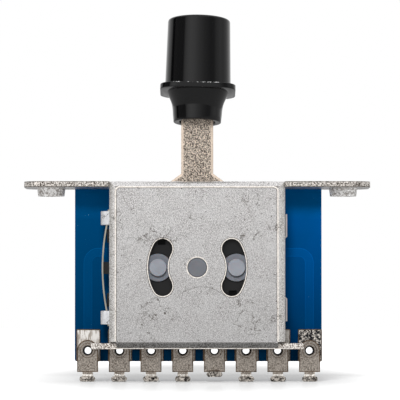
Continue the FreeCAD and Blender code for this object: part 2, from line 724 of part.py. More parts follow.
def knob_flange(turned):
    half_w, half_d, corner = "flange_w / 2", "flange_d / 2", "flange_corner"
    outline = [
        (f"-{half_w} + {corner}", f"-{half_d}", corner),
        (f"{half_w} - {corner}", f"-{half_d}"),
        (half_w, f"-{half_d} + {corner}", corner),
        (half_w, f"{half_d} - {corner}"),
        (f"{half_w} - {corner}", half_d, corner),
        (f"-{half_w} + {corner}", half_d),
        (f"-{half_w}", f"{half_d} - {corner}", corner),
        (f"-{half_w}", f"-{half_d} + {corner}"),
    ]
    pad(turned, "knob_flange", "XY", "flange_low", [outline], "flange_t")
    low, high, body_r = number("flange_low"), number("flange_low + flange_t"), number("knob_low_r")

    def rim(edge):
        outside = all(math.hypot(v.Point.x, v.Point.y) > body_r + 1e-3 for v in edge.Vertexes)
        return outside and (all_at(edge, "z", low) or all_at(edge, "z", high))

    dress(turned, "Chamfer", "flange_edges", rim, "flange_chamfer")


def make_knob():
    turned = revolved(
        "knob_turned",
        [
            ("0", "mouth_depth"),
            ("mouth_r", "mouth_depth"),
            ("mouth_r", "0"),
            ("skirt_r - foot_chamfer", "0"),
            ("skirt_r", "foot_chamfer"),
            ("skirt_r + skirt_draft", "skirt_waist"),
            ("skirt_mid_r", "skirt_mid"),
            ("skirt_high_r", "skirt_high"),
            ("skirt_top_r", "flange_low"),
            ("knob_low_r", "flange_low + flange_t"),
            ("knob_top_r", "knob_rise - knob_round"),
            ("knob_top_r - knob_round", "knob_rise"),
            ("0", "knob_rise"),
        ],
    )
    knob_flange(turned)
    back, right = number("lean_back"), number("lean_right")
    turned.Placement.Rotation = FreeCAD.Rotation(FreeCAD.Vector(-back, right, 0), math.hypot(back, right))
    place(turned, z="knob_foot")
    socket = doc.addObject("Part::Box", "knob_socket")
    bind(socket, "Length", "tang_w + slide_gap * 2")
    bind(socket, "Width", "blade_t + slide_gap * 2")
    bind(socket, "Height", "tang_rise + slide_gap")
    place(socket, "-tang_w / 2 - slide_gap", "-blade_t / 2 - slide_gap", "knob_foot")
    knob = doc.addObject("Part::Cut", "knob")
    knob.Label = "knob"
    knob.Base = turned
    knob.Tool = socket
    return knob


# Detent: a black follower in the left wall's window rides the rotor's notches, and a bowed leaf spring
# held by the wall's two loops presses it inwards. It is drawn lifted, with its nose level with the rim.


def make_detent_follower():
    follower = body_named("detent_follower")
    half = "follower_rise / 2"
    head = "-box_w / 2 - leaf_stand + run_gap"
    tip = "-rotor_r - slide_gap"
    waist = "-box_w / 2 + sheet_t + slide_gap"
    outline = [
        (head, f"-pivot_drop - {half}"),
        (waist, f"-pivot_drop - {half}"),
        (f"{tip} - nose_r", "-pivot_drop - nose_r"),
        (tip, "-pivot_drop", "nose_r"),
        (f"{tip} - nose_r", "-pivot_drop + nose_r", "nose_r"),
        (waist, f"-pivot_drop + {half}"),
        (head, f"-pivot_drop + {half}"),
    ]
    pad(follower, "follower", "XZ", "detent_y - follower_w / 2", [outline], "follower_w")
    return follower


def make_detent_spring():
    crest = "-box_w / 2 - leaf_stand"
    sag = "(leaf_bow_r - sqrt(leaf_bow_r ^ 2 - leaf_bow_half ^ 2))"
    slope = "(leaf_bow_half / leaf_bow_r)"
    drop = f"leaf_turn_r * {slope}"
    back = f"leaf_turn_r * (1 - sqrt(1 - {slope} ^ 2))"
    wall = f"{crest} + {sag} + {back}"
    turned = f"leaf_bow_half + {drop}"
    path = [
        (wall, "-pivot_drop + leaf_half"),
        (wall, f"-pivot_drop + {turned}"),
        (f"{crest} + {sag}", "-pivot_drop + leaf_bow_half", "-leaf_turn_r"),
        (f"{crest} + {sag}", "-pivot_drop - leaf_bow_half", "leaf_bow_r"),
        (wall, f"-pivot_drop - ({turned})", "-leaf_turn_r"),
        (wall, "-pivot_drop - leaf_half"),
    ]
    sketch, made = bent_strip("detent_spring", path, "-leaf_t", "leaf_w")
    place(sketch, y="-detent_y + leaf_w / 2")
    return made


# Side spring: a thin leaf inside the right wall that bears on the rotor's rim. Its ends come out
# through the wall's two windows and lie along the outside.


def make_side_spring():
    wall = "box_w / 2"
    out = f"{wall} + side_leaf_gap"
    crest = "rotor_r + slide_gap"
    near = f"{wall} - sheet_t - slide_gap * 4"
    path = [
        (out, "-pivot_drop + side_leaf_top"),
        (out, "-pivot_drop + side_leaf_low"),
        (near, "-pivot_drop + side_leaf_in"),
        (crest, "-pivot_drop"),
        (near, "-pivot_drop - side_leaf_in"),
        (out, "-pivot_drop - side_leaf_low"),
        (out, "-pivot_drop - side_leaf_top"),
    ]
    sketch, made = bent_strip("side_spring", path, "leaf_t", "side_leaf_w")
    place(sketch, y="-side_leaf_y + side_leaf_w / 2")
    return made


# Wipers: strips of sprung bronze, one each side of the rotor, that bridge an inner and an outer arc.


def make_contact_wiper(side):
    sign = SIDES[side]
    tip = "board_y - track_t - run_gap"
    web = "rotor_back - wiper_t * 3"
    foot_r = "wiper_foot * 1.2"
    sink = f"({foot_r} - sqrt(({foot_r}) ^ 2 - wiper_foot ^ 2))"
    inner, outer = f"{sign} * track_in_r", f"{sign} * track_out_r"
    inset = "wiper_foot * 1.6"
    corners = [
        (f"{inner} - {sign} * wiper_foot", f"{tip} - {sink}"),
        (f"{inner} + {sign} * wiper_foot", f"{tip} - {sink}", f"{-sign} * {foot_r}"),
        (f"{inner} + {sign} * {inset}", web),
        (f"{outer} - {sign} * {inset}", web),
        (f"{outer} - {sign} * wiper_foot", f"{tip} - {sink}"),
        (f"{outer} + {sign} * wiper_foot", f"{tip} - {sink}", f"{-sign} * {foot_r}"),
    ]
    label = f"contact_wiper_{side}"
    sketch, made = bent_strip(label, corners, "-wiper_t", "wiper_w", turned=False)
    place(sketch, z="-pivot_drop - wiper_w / 2")
    return made


# Contact board: blue-coated board, hung on the side walls' tabs. Two long tracks show through its
# coating as low ribs, from the box down to the outer lugs.


def lug_x(index):
    return f"(lug_shift + {index - (LUG_COUNT + 1) / 2} * lug_pitch)"


def board_band(sign, lug):
    """A rib that leaves the box level and turns down to a lug."""
    start = f"{sign} * box_w / 2"
    middle = lug_x(lug)
    upper, lower = "-band_drop + band_w / 2", "-band_drop - band_w / 2"
    far, near = f"{middle} + {sign} * band_w / 2", f"{middle} - {sign} * band_w / 2"
    foot = "-board_bottom + pad_rise"
    inner_turn = "band_w * 0.8"
    outer_turn = f"({inner_turn} + band_w)"
    return [
        (start, lower),
        (f"{near} - {sign} * {inner_turn}", lower),
        (near, f"{lower} - {inner_turn}", f"{-sign} * {inner_turn}"),
        (near, foot),
        (far, foot),
        (far, f"{lower} - {inner_turn}"),
        (f"{near} - {sign} * {inner_turn}", upper, f"{sign} * {outer_turn}"),
        (start, upper),
    ]


def punched_hole(x, z, r):
    """A small hole with a few flat sides, which keeps the board's row of holes light."""
    turns = [360 * step / BOARD_HOLE_SIDES for step in range(BOARD_HOLE_SIDES)]
    return [(f"{x} + {r} * cos({turn})", f"{z} + {r} * sin({turn})") for turn in turns]


def make_contact_board():
    board = body_named("contact_board")
    left, right = "board_shift - board_w / 2", "board_shift + board_w / 2"
    top, foot, corner = "-sheet_t - run_gap", "-board_bottom", "board_corner"
    outline = [
        (f"{left} + {corner}", foot, corner),
        (f"{right} - {corner}", foot),
        (right, f"{foot} + {corner}", corner),
        (right, top),
        (left, top),
        (left, f"{foot} + {corner}"),
    ]
    pad(board, "board", "XZ", "-board_y - board_t", [outline], "board_t")
    holes = [punched_hole(lug_x(i), "-lug_hole_drop", "board_hole_r") for i in range(1, LUG_COUNT + 1)]
    holes.append(("circle", "0", "-pivot_drop", "pin_r + run_gap"))
    for sign in SIDES.values():
        for way in (1, -1):
            inner = f"{sign} * (box_w / 2 - sheet_t - slide_gap)"
            outer = f"{sign} * (box_w / 2 + relief + slide_gap)"
            low = f"-pivot_drop + {way} * tab_drop - tab_rise / 2 - slide_gap"
            high = f"-pivot_drop + {way} * tab_drop + tab_rise / 2 + slide_gap"
            holes.append([(inner, low), (outer, low), (outer, high), (inner, high)])
    pocket(board, "board_openings", "XZ", "-board_y", holes, "board_t * 1.2")
    bands = [board_band(-1, 1), board_band(1, LUG_COUNT)]
    pad(board, "bands", "XZ", "-board_y", bands, "band_t")
    return board


# Contact tracks: silvered arcs on the board about the pivot, one inner and three outer on each side.


def arc_pad(sign, middle_r, low, high):
    """A flat ring sector between two angles from the side's level line."""
    inner, outer = f"({middle_r} - track_w / 2)", f"({middle_r} + track_w / 2)"

    def spot(radius, angle):
        return (f"{sign} * {radius} * cos({angle})", f"-pivot_drop + {radius} * sin({angle})")

    return [
        (*spot(outer, high), f"{sign} * {outer}"),
        spot(inner, high),
        (*spot(inner, low), f"{-sign} * {inner}"),
        spot(outer, low),
    ]


def make_contact_tracks():
    loops = []
    edge, reach = "detent_angle / 2", "(detent_angle * 2.5)"
    for sign in SIDES.values():
        loops.append(arc_pad(sign, "track_in_r", f"-{reach}", reach))
        loops.append(arc_pad(sign, "track_out_r", f"-{reach}", f"-{edge} - track_gap"))
        loops.append(arc_pad(sign, "track_out_r", f"-{edge} + track_gap", f"{edge} - track_gap"))
        loops.append(arc_pad(sign, "track_out_r", f"{edge} + track_gap", reach))
    sketch = flat_sketch("contact_tracks_outline", loops)
    place(sketch, y="board_y")
    return extrusion("contact_tracks", sketch, "track_t")


# Solder pads: tinned pads, one behind each lug, down to the board's lower edge. Each is bare of solder
# round the board's hole.


def make_solder_pads():
    loops = []
    for index in range(1, LUG_COUNT + 1):
        left = f"{lug_x(index)} + pad_shift - pad_w / 2"
        right = f"{lug_x(index)} + pad_shift + pad_w / 2"
        foot, top = "-board_bottom", "-board_bottom + pad_rise"
        loops.append([(left, foot), (right, foot), (right, top), (left, top)])
        bare = "(lug_hole_r + slide_gap)"
        near, far = f"{lug_x(index)} - {bare}", f"{lug_x(index)} + {bare}"
        low, high = f"-lug_hole_drop - {bare}", f"-lug_hole_drop + {bare}"
        loops.append([(near, low), (far, low), (far, high), (near, high)])
    sketch = flat_sketch("solder_pads_outline", loops)
    place(sketch, y="board_y")
    return extrusion("solder_pads", sketch, "pad_t")


# Lugs: stamped and tinned brass, soldered flat on the pads. Each ends in a neck that is bent forward
# into a T-shaped foot.


def make_lug(index):
    lug = body_named(f"lug_{index}")
    middle = lug_x(index)
    half = "lug_w / 2"
    back = "board_y - pad_t"
    front = f"{back} - lug_t"
    outline = [
        (f"{middle} - {half}", "-lug_drop"),
        (f"{middle} + {half}", "-lug_drop"),
        (f"{middle} + {half}", "-lug_hole_drop"),
        (middle, f"-lug_hole_drop + {half}", half),
        (f"{middle} - {half}", "-lug_hole_drop", half),
    ]
    pad(lug, f"lug_plate_{index}", "XZ", f"-({back})", [outline], "lug_t")
    hole = [("circle", middle, "-lug_hole_drop", "lug_hole_r")]
    pocket(lug, f"lug_hole_{index}", "XZ", f"-({front})", hole, "lug_t * 1.2")
    sole = "-foot_drop + fifth_lift" if index == 5 else "-foot_drop"
    step = f"{sole} + lug_t"
    tip = f"{front} - foot_reach"
    outer = "(foot_bend_r + lug_t)"
    foot = [
        (back, "-lug_drop + lug_t"),
        (back, f"{sole} + {outer}"),
        (f"{back} - {outer}", sole, f"-{outer}"),
        (tip, sole),
        (tip, step),
        (f"{front} - foot_bend_r", step),
        (front, f"{step} + foot_bend_r", "foot_bend_r"),
        (front, "-lug_drop + lug_t"),
    ]
    pad(lug, f"lug_foot_{index}", "YZ", f"{middle} - foot_neck_w / 2", [foot], "foot_neck_w")
    reach, turn = "foot_head_w / 2", "foot_head_corner"
    head = [
        (f"{middle} - {reach} + {turn}", sole),
        (f"{middle} + {reach} - {turn}", sole),
        (f"{middle} + {reach}", f"{sole} + {turn}"),
        (f"{middle} + {reach}", f"{step} - {turn}"),
        (f"{middle} + {reach} - {turn}", step),
        (f"{middle} - {reach} + {turn}", step),
        (f"{middle} - {reach}", f"{step} - {turn}"),
        (f"{middle} - {reach}", f"{sole} + {turn}"),
    ]
    pad(lug, f"lug_head_{index}", "XZ", f"-({tip})", [head], "foot_head_t", backwards=True)
    return lug


nodes = [
    make_frame(),
    make_pivot_pin(),
    make_rotor(),
    make_lever(),
    make_knob(),
    make_detent_follower(),
    make_detent_spring(),
    make_side_spring(),
    make_contact_board(),
    make_contact_tracks(),
    make_solder_pads(),
]
nodes += [make_guide_button(side) for side in SIDES]
nodes += [make_contact_wiper(side) for side in SIDES]
nodes += [make_lug(index) for index in range(1, LUG_COUNT + 1)]
doc.removeObject("Probe")
doc.recompute()

broken = [thing.Name for thing in doc.Objects if {"Invalid", "Error"} & set(thing.State)]
broken += [node.Label for node in nodes if node.Shape.isNull() or not node.Shape.isValid()]
if broken:
    raise RuntimeError("these objects failed: " + ", ".join(broken))
os.makedirs("parts", exist_ok=True)
for node in nodes:
    node.Shape.exportStep(f"parts/{node.Label}.step")
    print(node.Label, len(node.Shape.Solids), round(node.Shape.Volume, 3))
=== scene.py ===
import json
import math

import bmesh
import bpy
from mathutils import Matrix, Vector, noise

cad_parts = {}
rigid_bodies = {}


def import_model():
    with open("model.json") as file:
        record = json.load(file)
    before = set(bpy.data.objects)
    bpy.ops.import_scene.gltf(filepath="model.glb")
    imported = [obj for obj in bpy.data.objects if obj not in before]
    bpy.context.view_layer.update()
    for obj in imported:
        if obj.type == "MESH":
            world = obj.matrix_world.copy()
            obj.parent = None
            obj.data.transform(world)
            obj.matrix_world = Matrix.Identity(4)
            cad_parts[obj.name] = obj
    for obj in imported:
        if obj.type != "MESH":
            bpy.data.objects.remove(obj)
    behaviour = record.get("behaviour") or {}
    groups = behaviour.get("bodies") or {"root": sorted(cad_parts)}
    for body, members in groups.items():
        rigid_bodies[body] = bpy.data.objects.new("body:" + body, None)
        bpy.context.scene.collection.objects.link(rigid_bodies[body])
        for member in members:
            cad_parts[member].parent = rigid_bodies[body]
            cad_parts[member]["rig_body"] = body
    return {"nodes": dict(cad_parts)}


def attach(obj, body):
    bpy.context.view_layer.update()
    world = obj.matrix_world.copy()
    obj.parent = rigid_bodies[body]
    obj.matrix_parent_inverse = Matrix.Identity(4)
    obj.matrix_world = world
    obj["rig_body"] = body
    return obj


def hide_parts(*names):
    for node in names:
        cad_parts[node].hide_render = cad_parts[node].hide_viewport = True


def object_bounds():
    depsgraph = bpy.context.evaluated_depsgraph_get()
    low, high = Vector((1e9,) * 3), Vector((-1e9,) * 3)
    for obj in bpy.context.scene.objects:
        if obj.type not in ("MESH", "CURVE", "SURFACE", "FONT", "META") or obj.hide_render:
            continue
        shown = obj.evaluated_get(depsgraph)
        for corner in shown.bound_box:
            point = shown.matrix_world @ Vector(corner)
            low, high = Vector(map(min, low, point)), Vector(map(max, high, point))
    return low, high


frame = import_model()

cad_box = [list(corner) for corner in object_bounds()]

# Studio
# The switch stands on its lugs on a white sweep, seen square on from half a metre away and so low down
# that the plate is edge on. Lengths are in metres here, and in mm in the sections that follow.

MM = 0.001
EYE_DISTANCE = 0.5
EYE_HEIGHT = -0.01944
FOCAL_PIXELS = 3535
PICTURE_PIXELS = 400
EYE_COLUMN = 197.2
EYE_ROW = 320.0
CEILING = 0.8
CEILING_STARTS = 0.45
CEILING_FULL = 0.85
FLOOR_SIDE = 6
PAPER = 0.76
PAPER_NEAR = 0.09
PAPER_SHIFT = 0.05
PAPER_NARROW = 5.5
PAPER_FAR = 0.2
PAPER_GLOW_IN_PAINTED_SHADE = 0.0
PAPER_GLOW = 0.62
PAPER_SHEEN = 0.12
PAPER_GLOSS = 0.06
FLOOR_IN_METAL = 0.42
LAMP_WATTS = 8.0
LAMP_AWAY = 0.8
LAMP_SIZE = 0.2
LAMP_ABOVE = math.radians(21)
LAMP_LEFT = math.radians(4)
# Brightness of the cards round the switch, by their angle right of the camera in degrees: a wide
# softbox left of the camera that fades to the right, a black flag on the left and a card on the right.
CARDS = [
    (-180, 1.0),
    (-150, 0.9),
    (-118, 0.45),
    (-112, 0.02),
    (-103, 0.02),
    (-98, 0.13),
    (-58, 0.13),
    (-52, 0.55),
    (-42, 0.82),
    (-30, 0.95),
    (-15, 0.85),
    (0, 0.62),
    (25, 0.34),
    (47, 0.2),
    (60, 0.22),
    (70, 0.42),
    (88, 0.54),
    (102, 0.42),
    (120, 0.5),
    (150, 0.9),
    (180, 1.0),
]


def add_camera():
    bpy.ops.object.camera_add(location=(0, -EYE_DISTANCE, EYE_HEIGHT))
    camera = bpy.context.object
    camera.data.sensor_width = 36
    camera.data.lens = 36 * FOCAL_PIXELS / PICTURE_PIXELS
    camera.data.clip_end = 20
    pitch = math.atan((EYE_ROW - PICTURE_PIXELS / 2) / FOCAL_PIXELS)
    turn = math.atan((EYE_COLUMN - PICTURE_PIXELS / 2) / FOCAL_PIXELS)
    camera.rotation_euler = (math.pi / 2 + pitch, 0, turn)
    bpy.context.scene.camera = camera


def add_floor():
    """Matt paper with a soft shadow and a faint reflection, which glows to white away from the switch,
    over an oval that is narrow from side to side; round the switch the glow is held back, which paints
    shade on the paper there. Shiny pieces see it as grey."""
    bpy.ops.mesh.primitive_plane_add(size=FLOOR_SIDE, location=(0, 0, cad_box[0][2] - 0.01 * MM))
    floor = bpy.context.object
    floor.name = "floor"
    paper = bpy.data.materials.new("white sweep")
    paper.use_nodes = True
    tree = paper.node_tree
    matte = tree.nodes["Principled BSDF"]
    matte.inputs["Base Color"].default_value = (*[PAPER] * 3, 1)
    matte.inputs["Roughness"].default_value = 0.8
    matte.inputs["Specular IOR Level"].default_value = 0
    glow = tree.nodes.new("ShaderNodeEmission")
    place = tree.nodes.new("ShaderNodeTexCoord")
    away = tree.nodes.new("ShaderNodeVectorMath")
    away.operation = "LENGTH"
    shifted = tree.nodes.new("ShaderNodeMapping")
    shifted.inputs["Location"].default_value = (0, -PAPER_SHIFT, 0)
    shifted.inputs["Scale"].default_value = (PAPER_NARROW, 1, 1)
    tree.links.new(place.outputs["Object"], shifted.inputs["Vector"])
    tree.links.new(shifted.outputs[0], away.inputs[0])
    # Painted shade: the glow is held back near the switch, so the paper round it stays grey.
    painted_shade_fade = tree.nodes.new("ShaderNodeMapRange")
    painted_shade_fade.interpolation_type = "SMOOTHSTEP"
    painted_shade_fade.inputs["From Min"].default_value = PAPER_NEAR
    painted_shade_fade.inputs["From Max"].default_value = PAPER_FAR
    painted_shade_fade.inputs["To Min"].default_value = PAPER_GLOW_IN_PAINTED_SHADE
    painted_shade_fade.inputs["To Max"].default_value = PAPER_GLOW
    tree.links.new(away.outputs["Value"], painted_shade_fade.inputs["Value"])
    tree.links.new(painted_shade_fade.outputs[0], glow.inputs["Strength"])
    lit = tree.nodes.new("ShaderNodeAddShader")
    tree.links.new(matte.outputs[0], lit.inputs[0])
    tree.links.new(glow.outputs[0], lit.inputs[1])
    sheen = tree.nodes.new("ShaderNodeBsdfGlossy")
    sheen.inputs["Roughness"].default_value = PAPER_GLOSS
    polished = tree.nodes.new("ShaderNodeMixShader")
    polished.inputs[0].default_value = PAPER_SHEEN
    tree.links.new(lit.outputs[0], polished.inputs[1])
    tree.links.new(sheen.outputs[0], polished.inputs[2])
    grey = tree.nodes.new("ShaderNodeEmission")
    grey.inputs["Strength"].default_value = FLOOR_IN_METAL
    seen = tree.nodes.new("ShaderNodeLightPath")
    shaders = matte.outputs[0]
    for ray, shader in (("Is Camera Ray", polished), ("Is Glossy Ray", grey)):
        choice = tree.nodes.new("ShaderNodeMixShader")
        tree.links.new(seen.outputs[ray], choice.inputs[0])
        tree.links.new(shaders, choice.inputs[1])
        tree.links.new(shader.outputs[0], choice.inputs[2])
        shaders = choice.outputs[0]
    tree.links.new(shaders, tree.nodes["Material Output"].inputs["Surface"])
    floor.data.materials.append(paper)


def add_lamp():
    """One soft lamp in front, which gives the shadow on the paper and isn't seen in the metal."""
    level = math.cos(LAMP_ABOVE)
    way = Vector((-level * math.sin(LAMP_LEFT), -level * math.cos(LAMP_LEFT), math.sin(LAMP_ABOVE)))
    bpy.ops.object.light_add(type="AREA", location=way * LAMP_AWAY)
    lamp = bpy.context.object
    lamp.data.shape = "DISK"
    lamp.data.size = LAMP_SIZE
    lamp.data.energy = LAMP_WATTS
    lamp.rotation_euler = way.to_track_quat("Z", "Y").to_euler()
    lamp.visible_glossy = False


def add_room():
    """White to the camera and behind the switch. For reflections, a ring of cards stands round it."""
    world = bpy.data.worlds.new("studio room")
    world.use_nodes = True
    tree = world.node_tree
    way = tree.nodes.new("ShaderNodeTexCoord")
    parts = tree.nodes.new("ShaderNodeSeparateXYZ")
    tree.links.new(way.outputs["Generated"], parts.inputs[0])
    towards = tree.nodes.new("ShaderNodeMath")
    towards.operation = "MULTIPLY"
    towards.inputs[1].default_value = -1
    tree.links.new(parts.outputs["Y"], towards.inputs[0])
    azimuth = tree.nodes.new("ShaderNodeMath")
    azimuth.operation = "ARCTAN2"
    tree.links.new(parts.outputs["X"], azimuth.inputs[0])
    tree.links.new(towards.outputs[0], azimuth.inputs[1])
    turn = tree.nodes.new("ShaderNodeMapRange")
    turn.inputs["From Min"].default_value = -math.pi
    turn.inputs["From Max"].default_value = math.pi
    tree.links.new(azimuth.outputs[0], turn.inputs["Value"])
    cards = tree.nodes.new("ShaderNodeValToRGB")
    stops = cards.color_ramp.elements
    while len(stops) > 1:
        stops.remove(stops[-1])
    for degrees, level in CARDS:
        place = 0.5 + degrees / 360
        stop = stops.new(place) if place else stops[0]
        stop.position = place
        stop.color = (level, level, level, 1)
    tree.links.new(turn.outputs[0], cards.inputs["Fac"])
    overhead = tree.nodes.new("ShaderNodeMapRange")
    overhead.interpolation_type = "SMOOTHSTEP"
    overhead.inputs["From Min"].default_value = CEILING_STARTS
    overhead.inputs["From Max"].default_value = CEILING_FULL
    tree.links.new(parts.outputs["Z"], overhead.inputs["Value"])
    card_or_ceiling = tree.nodes.new("ShaderNodeMix")
    tree.links.new(overhead.outputs[0], card_or_ceiling.inputs["Factor"])
    tree.links.new(cards.outputs["Color"], card_or_ceiling.inputs["A"])
    card_or_ceiling.inputs["B"].default_value = CEILING
    seen = tree.nodes.new("ShaderNodeLightPath")
    strength = tree.nodes.new("ShaderNodeMath")
    strength.operation = "MAXIMUM"
    tree.links.new(seen.outputs["Is Camera Ray"], strength.inputs[0])
    tree.links.new(card_or_ceiling.outputs["Result"], strength.inputs[1])
    back = tree.nodes["Background"]
    tree.links.new(strength.outputs[0], back.inputs["Strength"])
    back.inputs["Color"].default_value = (1, 1, 1, 1)
    bpy.context.scene.world = world


add_camera()
add_floor()
add_lamp()
add_room()
bpy.context.scene.view_settings.view_transform = "Standard"

# Frame
# One sheet of steel, blanked and folded into a box with a mounting plate, plated with nickel. The
# plating is dull and gritty, with fine scratches and dark specks. Painted highlights run along the slots'
# rims, round the pin, along the crease and on the fold, and painted shade darkens some edges and creases.

FRAME_EDGE = 0.07
PIVOT_Z = -12.1
KIDNEY_R = 5.5
KIDNEY_W = 2.8
KIDNEY_HALF = 28.4
PIN_R = 1.34
FACE_Y = -5.5
FACE_FOOT = -22.6
BAND_BACK = -4.3
PLATE_T = 0.8
WING_X = 12
BOX_HALF = 12.34
BEND_X = 11.35
BOSS_X = 20.65
EAR_TOP = -22
LOOPS_LOW = -20
LOOPS_HIGH = -4
CREASE_LEFT = -11.44
CREASE_RIGHT = 11.3
CREASE_TOP = -0.82
CREASE_LOW = -22.45
CREASE_R = 0.6
FOLD_HALF = 11.9
FOLD_Y = -4.92
FOLD_Z = -23.41
SCRATCH_MIDDLE = (0.6, -19.5)
SCRATCH_R = 4.7


class Finish:
    """A material with the few node patterns that the switch's surfaces share."""

    def __init__(self, name, colour, metallic, roughness):
        self.material = bpy.data.materials.new(name)
        self.material.use_nodes = True
        self.tree = self.material.node_tree
        self.shader = self.tree.nodes["Principled BSDF"]
        self.shader.inputs["Base Color"].default_value = (*colour, 1)
        self.shader.inputs["Metallic"].default_value = metallic
        self.shader.inputs["Roughness"].default_value = roughness
        self.place = self.tree.nodes.new("ShaderNodeTexCoord").outputs["Object"]

    def join(self, output, socket):
        self.tree.links.new(output, socket)

    def noise(self, size, detail=4, stretch=(1, 1, 1), rough=0.5):
        """Noise with features about size across, in metres, drawn out along each axis by stretch."""
        frame_of = self.tree.nodes.new("ShaderNodeMapping")
        frame_of.inputs["Scale"].default_value = [1 / (size * s) for s in stretch]
        self.join(self.place, frame_of.inputs["Vector"])
        noise = self.tree.nodes.new("ShaderNodeTexNoise")
        noise.inputs["Scale"].default_value = 1
        noise.inputs["Detail"].default_value = detail
        noise.inputs["Roughness"].default_value = rough
        self.join(frame_of.outputs[0], noise.inputs["Vector"])
        return noise.outputs[0]

    def between(self, value, low, high, start=0.0, end=1.0):
        """The value's stretch from low to high spread over start to end."""
        ramp = self.tree.nodes.new("ShaderNodeMapRange")
        ramp.inputs["From Min"].default_value = low
        ramp.inputs["From Max"].default_value = high
        ramp.inputs["To Min"].default_value = start
        ramp.inputs["To Max"].default_value = end
        self.join(value, ramp.inputs["Value"])
        return ramp.outputs[0]

    def maths(self, kind, one, other):
        made = self.tree.nodes.new("ShaderNodeMath")
        made.operation = kind
        for socket, value in zip(made.inputs, (one, other)):
            if isinstance(value, (int, float)):
                socket.default_value = value
            else:
                self.join(value, socket)
        return made.outputs[0]

    def mixed(self, share, one, other):
        """One colour going over to the other as share goes from 0 to 1."""
        made = self.tree.nodes.new("ShaderNodeMix")
        made.data_type = "RGBA"
        self.join(share, made.inputs["Factor"])
        for socket, value in ((made.inputs[6], one), (made.inputs[7], other)):
            if isinstance(value, tuple):
                socket.default_value = (*value, 1)
            else:
                self.join(value, socket)
        return made.outputs[2]

    def colour(self, output):
        self.join(output, self.shader.inputs["Base Color"])

    def roughness(self, output):
        self.join(output, self.shader.inputs["Roughness"])

    def bump(self, height, depth, strength=1.0):
        made = self.tree.nodes.new("ShaderNodeBump")
        made.inputs["Distance"].default_value = depth
        made.inputs["Strength"].default_value = strength
        self.join(height, made.inputs["Height"])
        self.join(made.outputs[0], self.shader.inputs["Normal"])


def softened_copy(node, edge, angle=28):
    """A copy of a CAD node that stands for it and rides on its body, its edges rounded by edge mm."""
    source = frame["nodes"][node]
    piece = bpy.data.objects.new(f"{node}_finished", source.data.copy())
    bpy.context.scene.collection.objects.link(piece)
    shape = bmesh.new()
    shape.from_mesh(piece.data)
    bmesh.ops.remove_doubles(shape, verts=shape.verts, dist=1e-6)
    bmesh.ops.dissolve_limit(shape, angle_limit=math.radians(1), verts=shape.verts, edges=shape.edges)
    shape.to_mesh(piece.data)
    shape.free()
    bpy.ops.object.select_all(action="DESELECT")
    piece.select_set(True)
    bpy.context.view_layer.objects.active = piece
    round_off = piece.modifiers.new("edges", "BEVEL")
    round_off.width = edge * MM
    round_off.segments = 2
    round_off.limit_method = "ANGLE"
    round_off.angle_limit = math.radians(angle)
    round_off.use_clamp_overlap = True
    bpy.ops.object.modifier_apply(modifier="edges")
    bpy.ops.object.shade_smooth_by_angle(angle=math.radians(35))
    even = piece.modifiers.new("flat faces stay flat", "WEIGHTED_NORMAL")
    even.keep_sharp = True
    bpy.ops.object.modifier_apply(modifier=even.name)
    piece.data.materials.clear()
    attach(piece, source["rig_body"])
    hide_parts(node)
    return piece


def mark(piece, material, test):
    """Gives the piece's faces that pass the test, which reads their middle in mm and normal, a finish."""
    piece.data.materials.append(material)
    slot = len(piece.data.materials) - 1
    for face in piece.data.polygons:
        if test(face.center / MM, face.normal):
            face.material_index = slot


def bead(name, points, thick, flat, y, closed=True):
    """A half-sunk bead of metal along a line of (x, z) points on a face at y, all in mm.

    flat is the bead's height as a share of its width, and closed joins the line's ends.
    """
    line = bpy.data.curves.new(name, "CURVE")
    line.dimensions = "3D"
    line.bevel_depth = thick / 2 * MM
    line.bevel_resolution = 3
    run = line.splines.new("POLY")
    run.points.add(len(points) - 1)
    for spot, (x, z) in zip(run.points, points):
        spot.co = (x * MM, 0, z * MM, 1)
    run.use_cyclic_u = closed
    line.use_fill_caps = not closed
    piece = bpy.data.objects.new(name, line)
    bpy.context.scene.collection.objects.link(piece)
    bpy.ops.object.select_all(action="DESELECT")
    piece.select_set(True)
    bpy.context.view_layer.objects.active = piece
    bpy.ops.object.convert(target="MESH")
    piece = bpy.context.object
    piece.data.transform(Matrix.Translation((0, y * MM, 0)) @ Matrix.Diagonal((1, flat, 1, 1)))
    bpy.ops.object.mode_set(mode="EDIT")
    bpy.ops.mesh.select_all(action="SELECT")
    bpy.ops.mesh.normals_make_consistent(inside=False)
    bpy.ops.object.mode_set(mode="OBJECT")
    bpy.ops.object.shade_smooth_by_angle(angle=math.radians(60))
    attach(piece, "switch_body")
    return piece


def arc(x, z, r, start, end, steps=24):
    """Points on an arc about (x, z), with its angles in degrees."""
    turns = [math.radians(start + (end - start) * step / steps) for step in range(steps + 1)]
    return [(x + r * math.cos(turn), z + r * math.sin(turn)) for turn in turns]


def kidney_line(side, spare):
    """The outline of a curved slot, grown by spare: its outer arc, one end, its inner arc, the other."""
    middle = 0 if side > 0 else 180
    half = KIDNEY_W / 2 + spare
    low, high = middle - KIDNEY_HALF, middle + KIDNEY_HALF
    ends = []
    for turn in (low, high):
        there = math.radians(turn)
        ends.append((KIDNEY_R * math.cos(there), PIVOT_Z + KIDNEY_R * math.sin(there)))
    points = arc(0, PIVOT_Z, KIDNEY_R + half, low, high)
    points += arc(*ends[1], half, high, high + 180)[1:]
    points += arc(0, PIVOT_Z, KIDNEY_R - half, high, low)[1:]
    points += arc(*ends[0], half, low + 180, low + 360)[1:-1]
    return points


def rounded_box(left, right, low, high, r):
    """The outline of an upright box with rounded corners, clockwise from its top right corner."""
    points = arc(right - r, high - r, r, 90, 0, 8) + arc(right - r, low + r, r, 0, -90, 8)
    return points + arc(left + r, low + r, r, 270, 180, 8) + arc(left + r, high - r, r, 180, 90, 8)


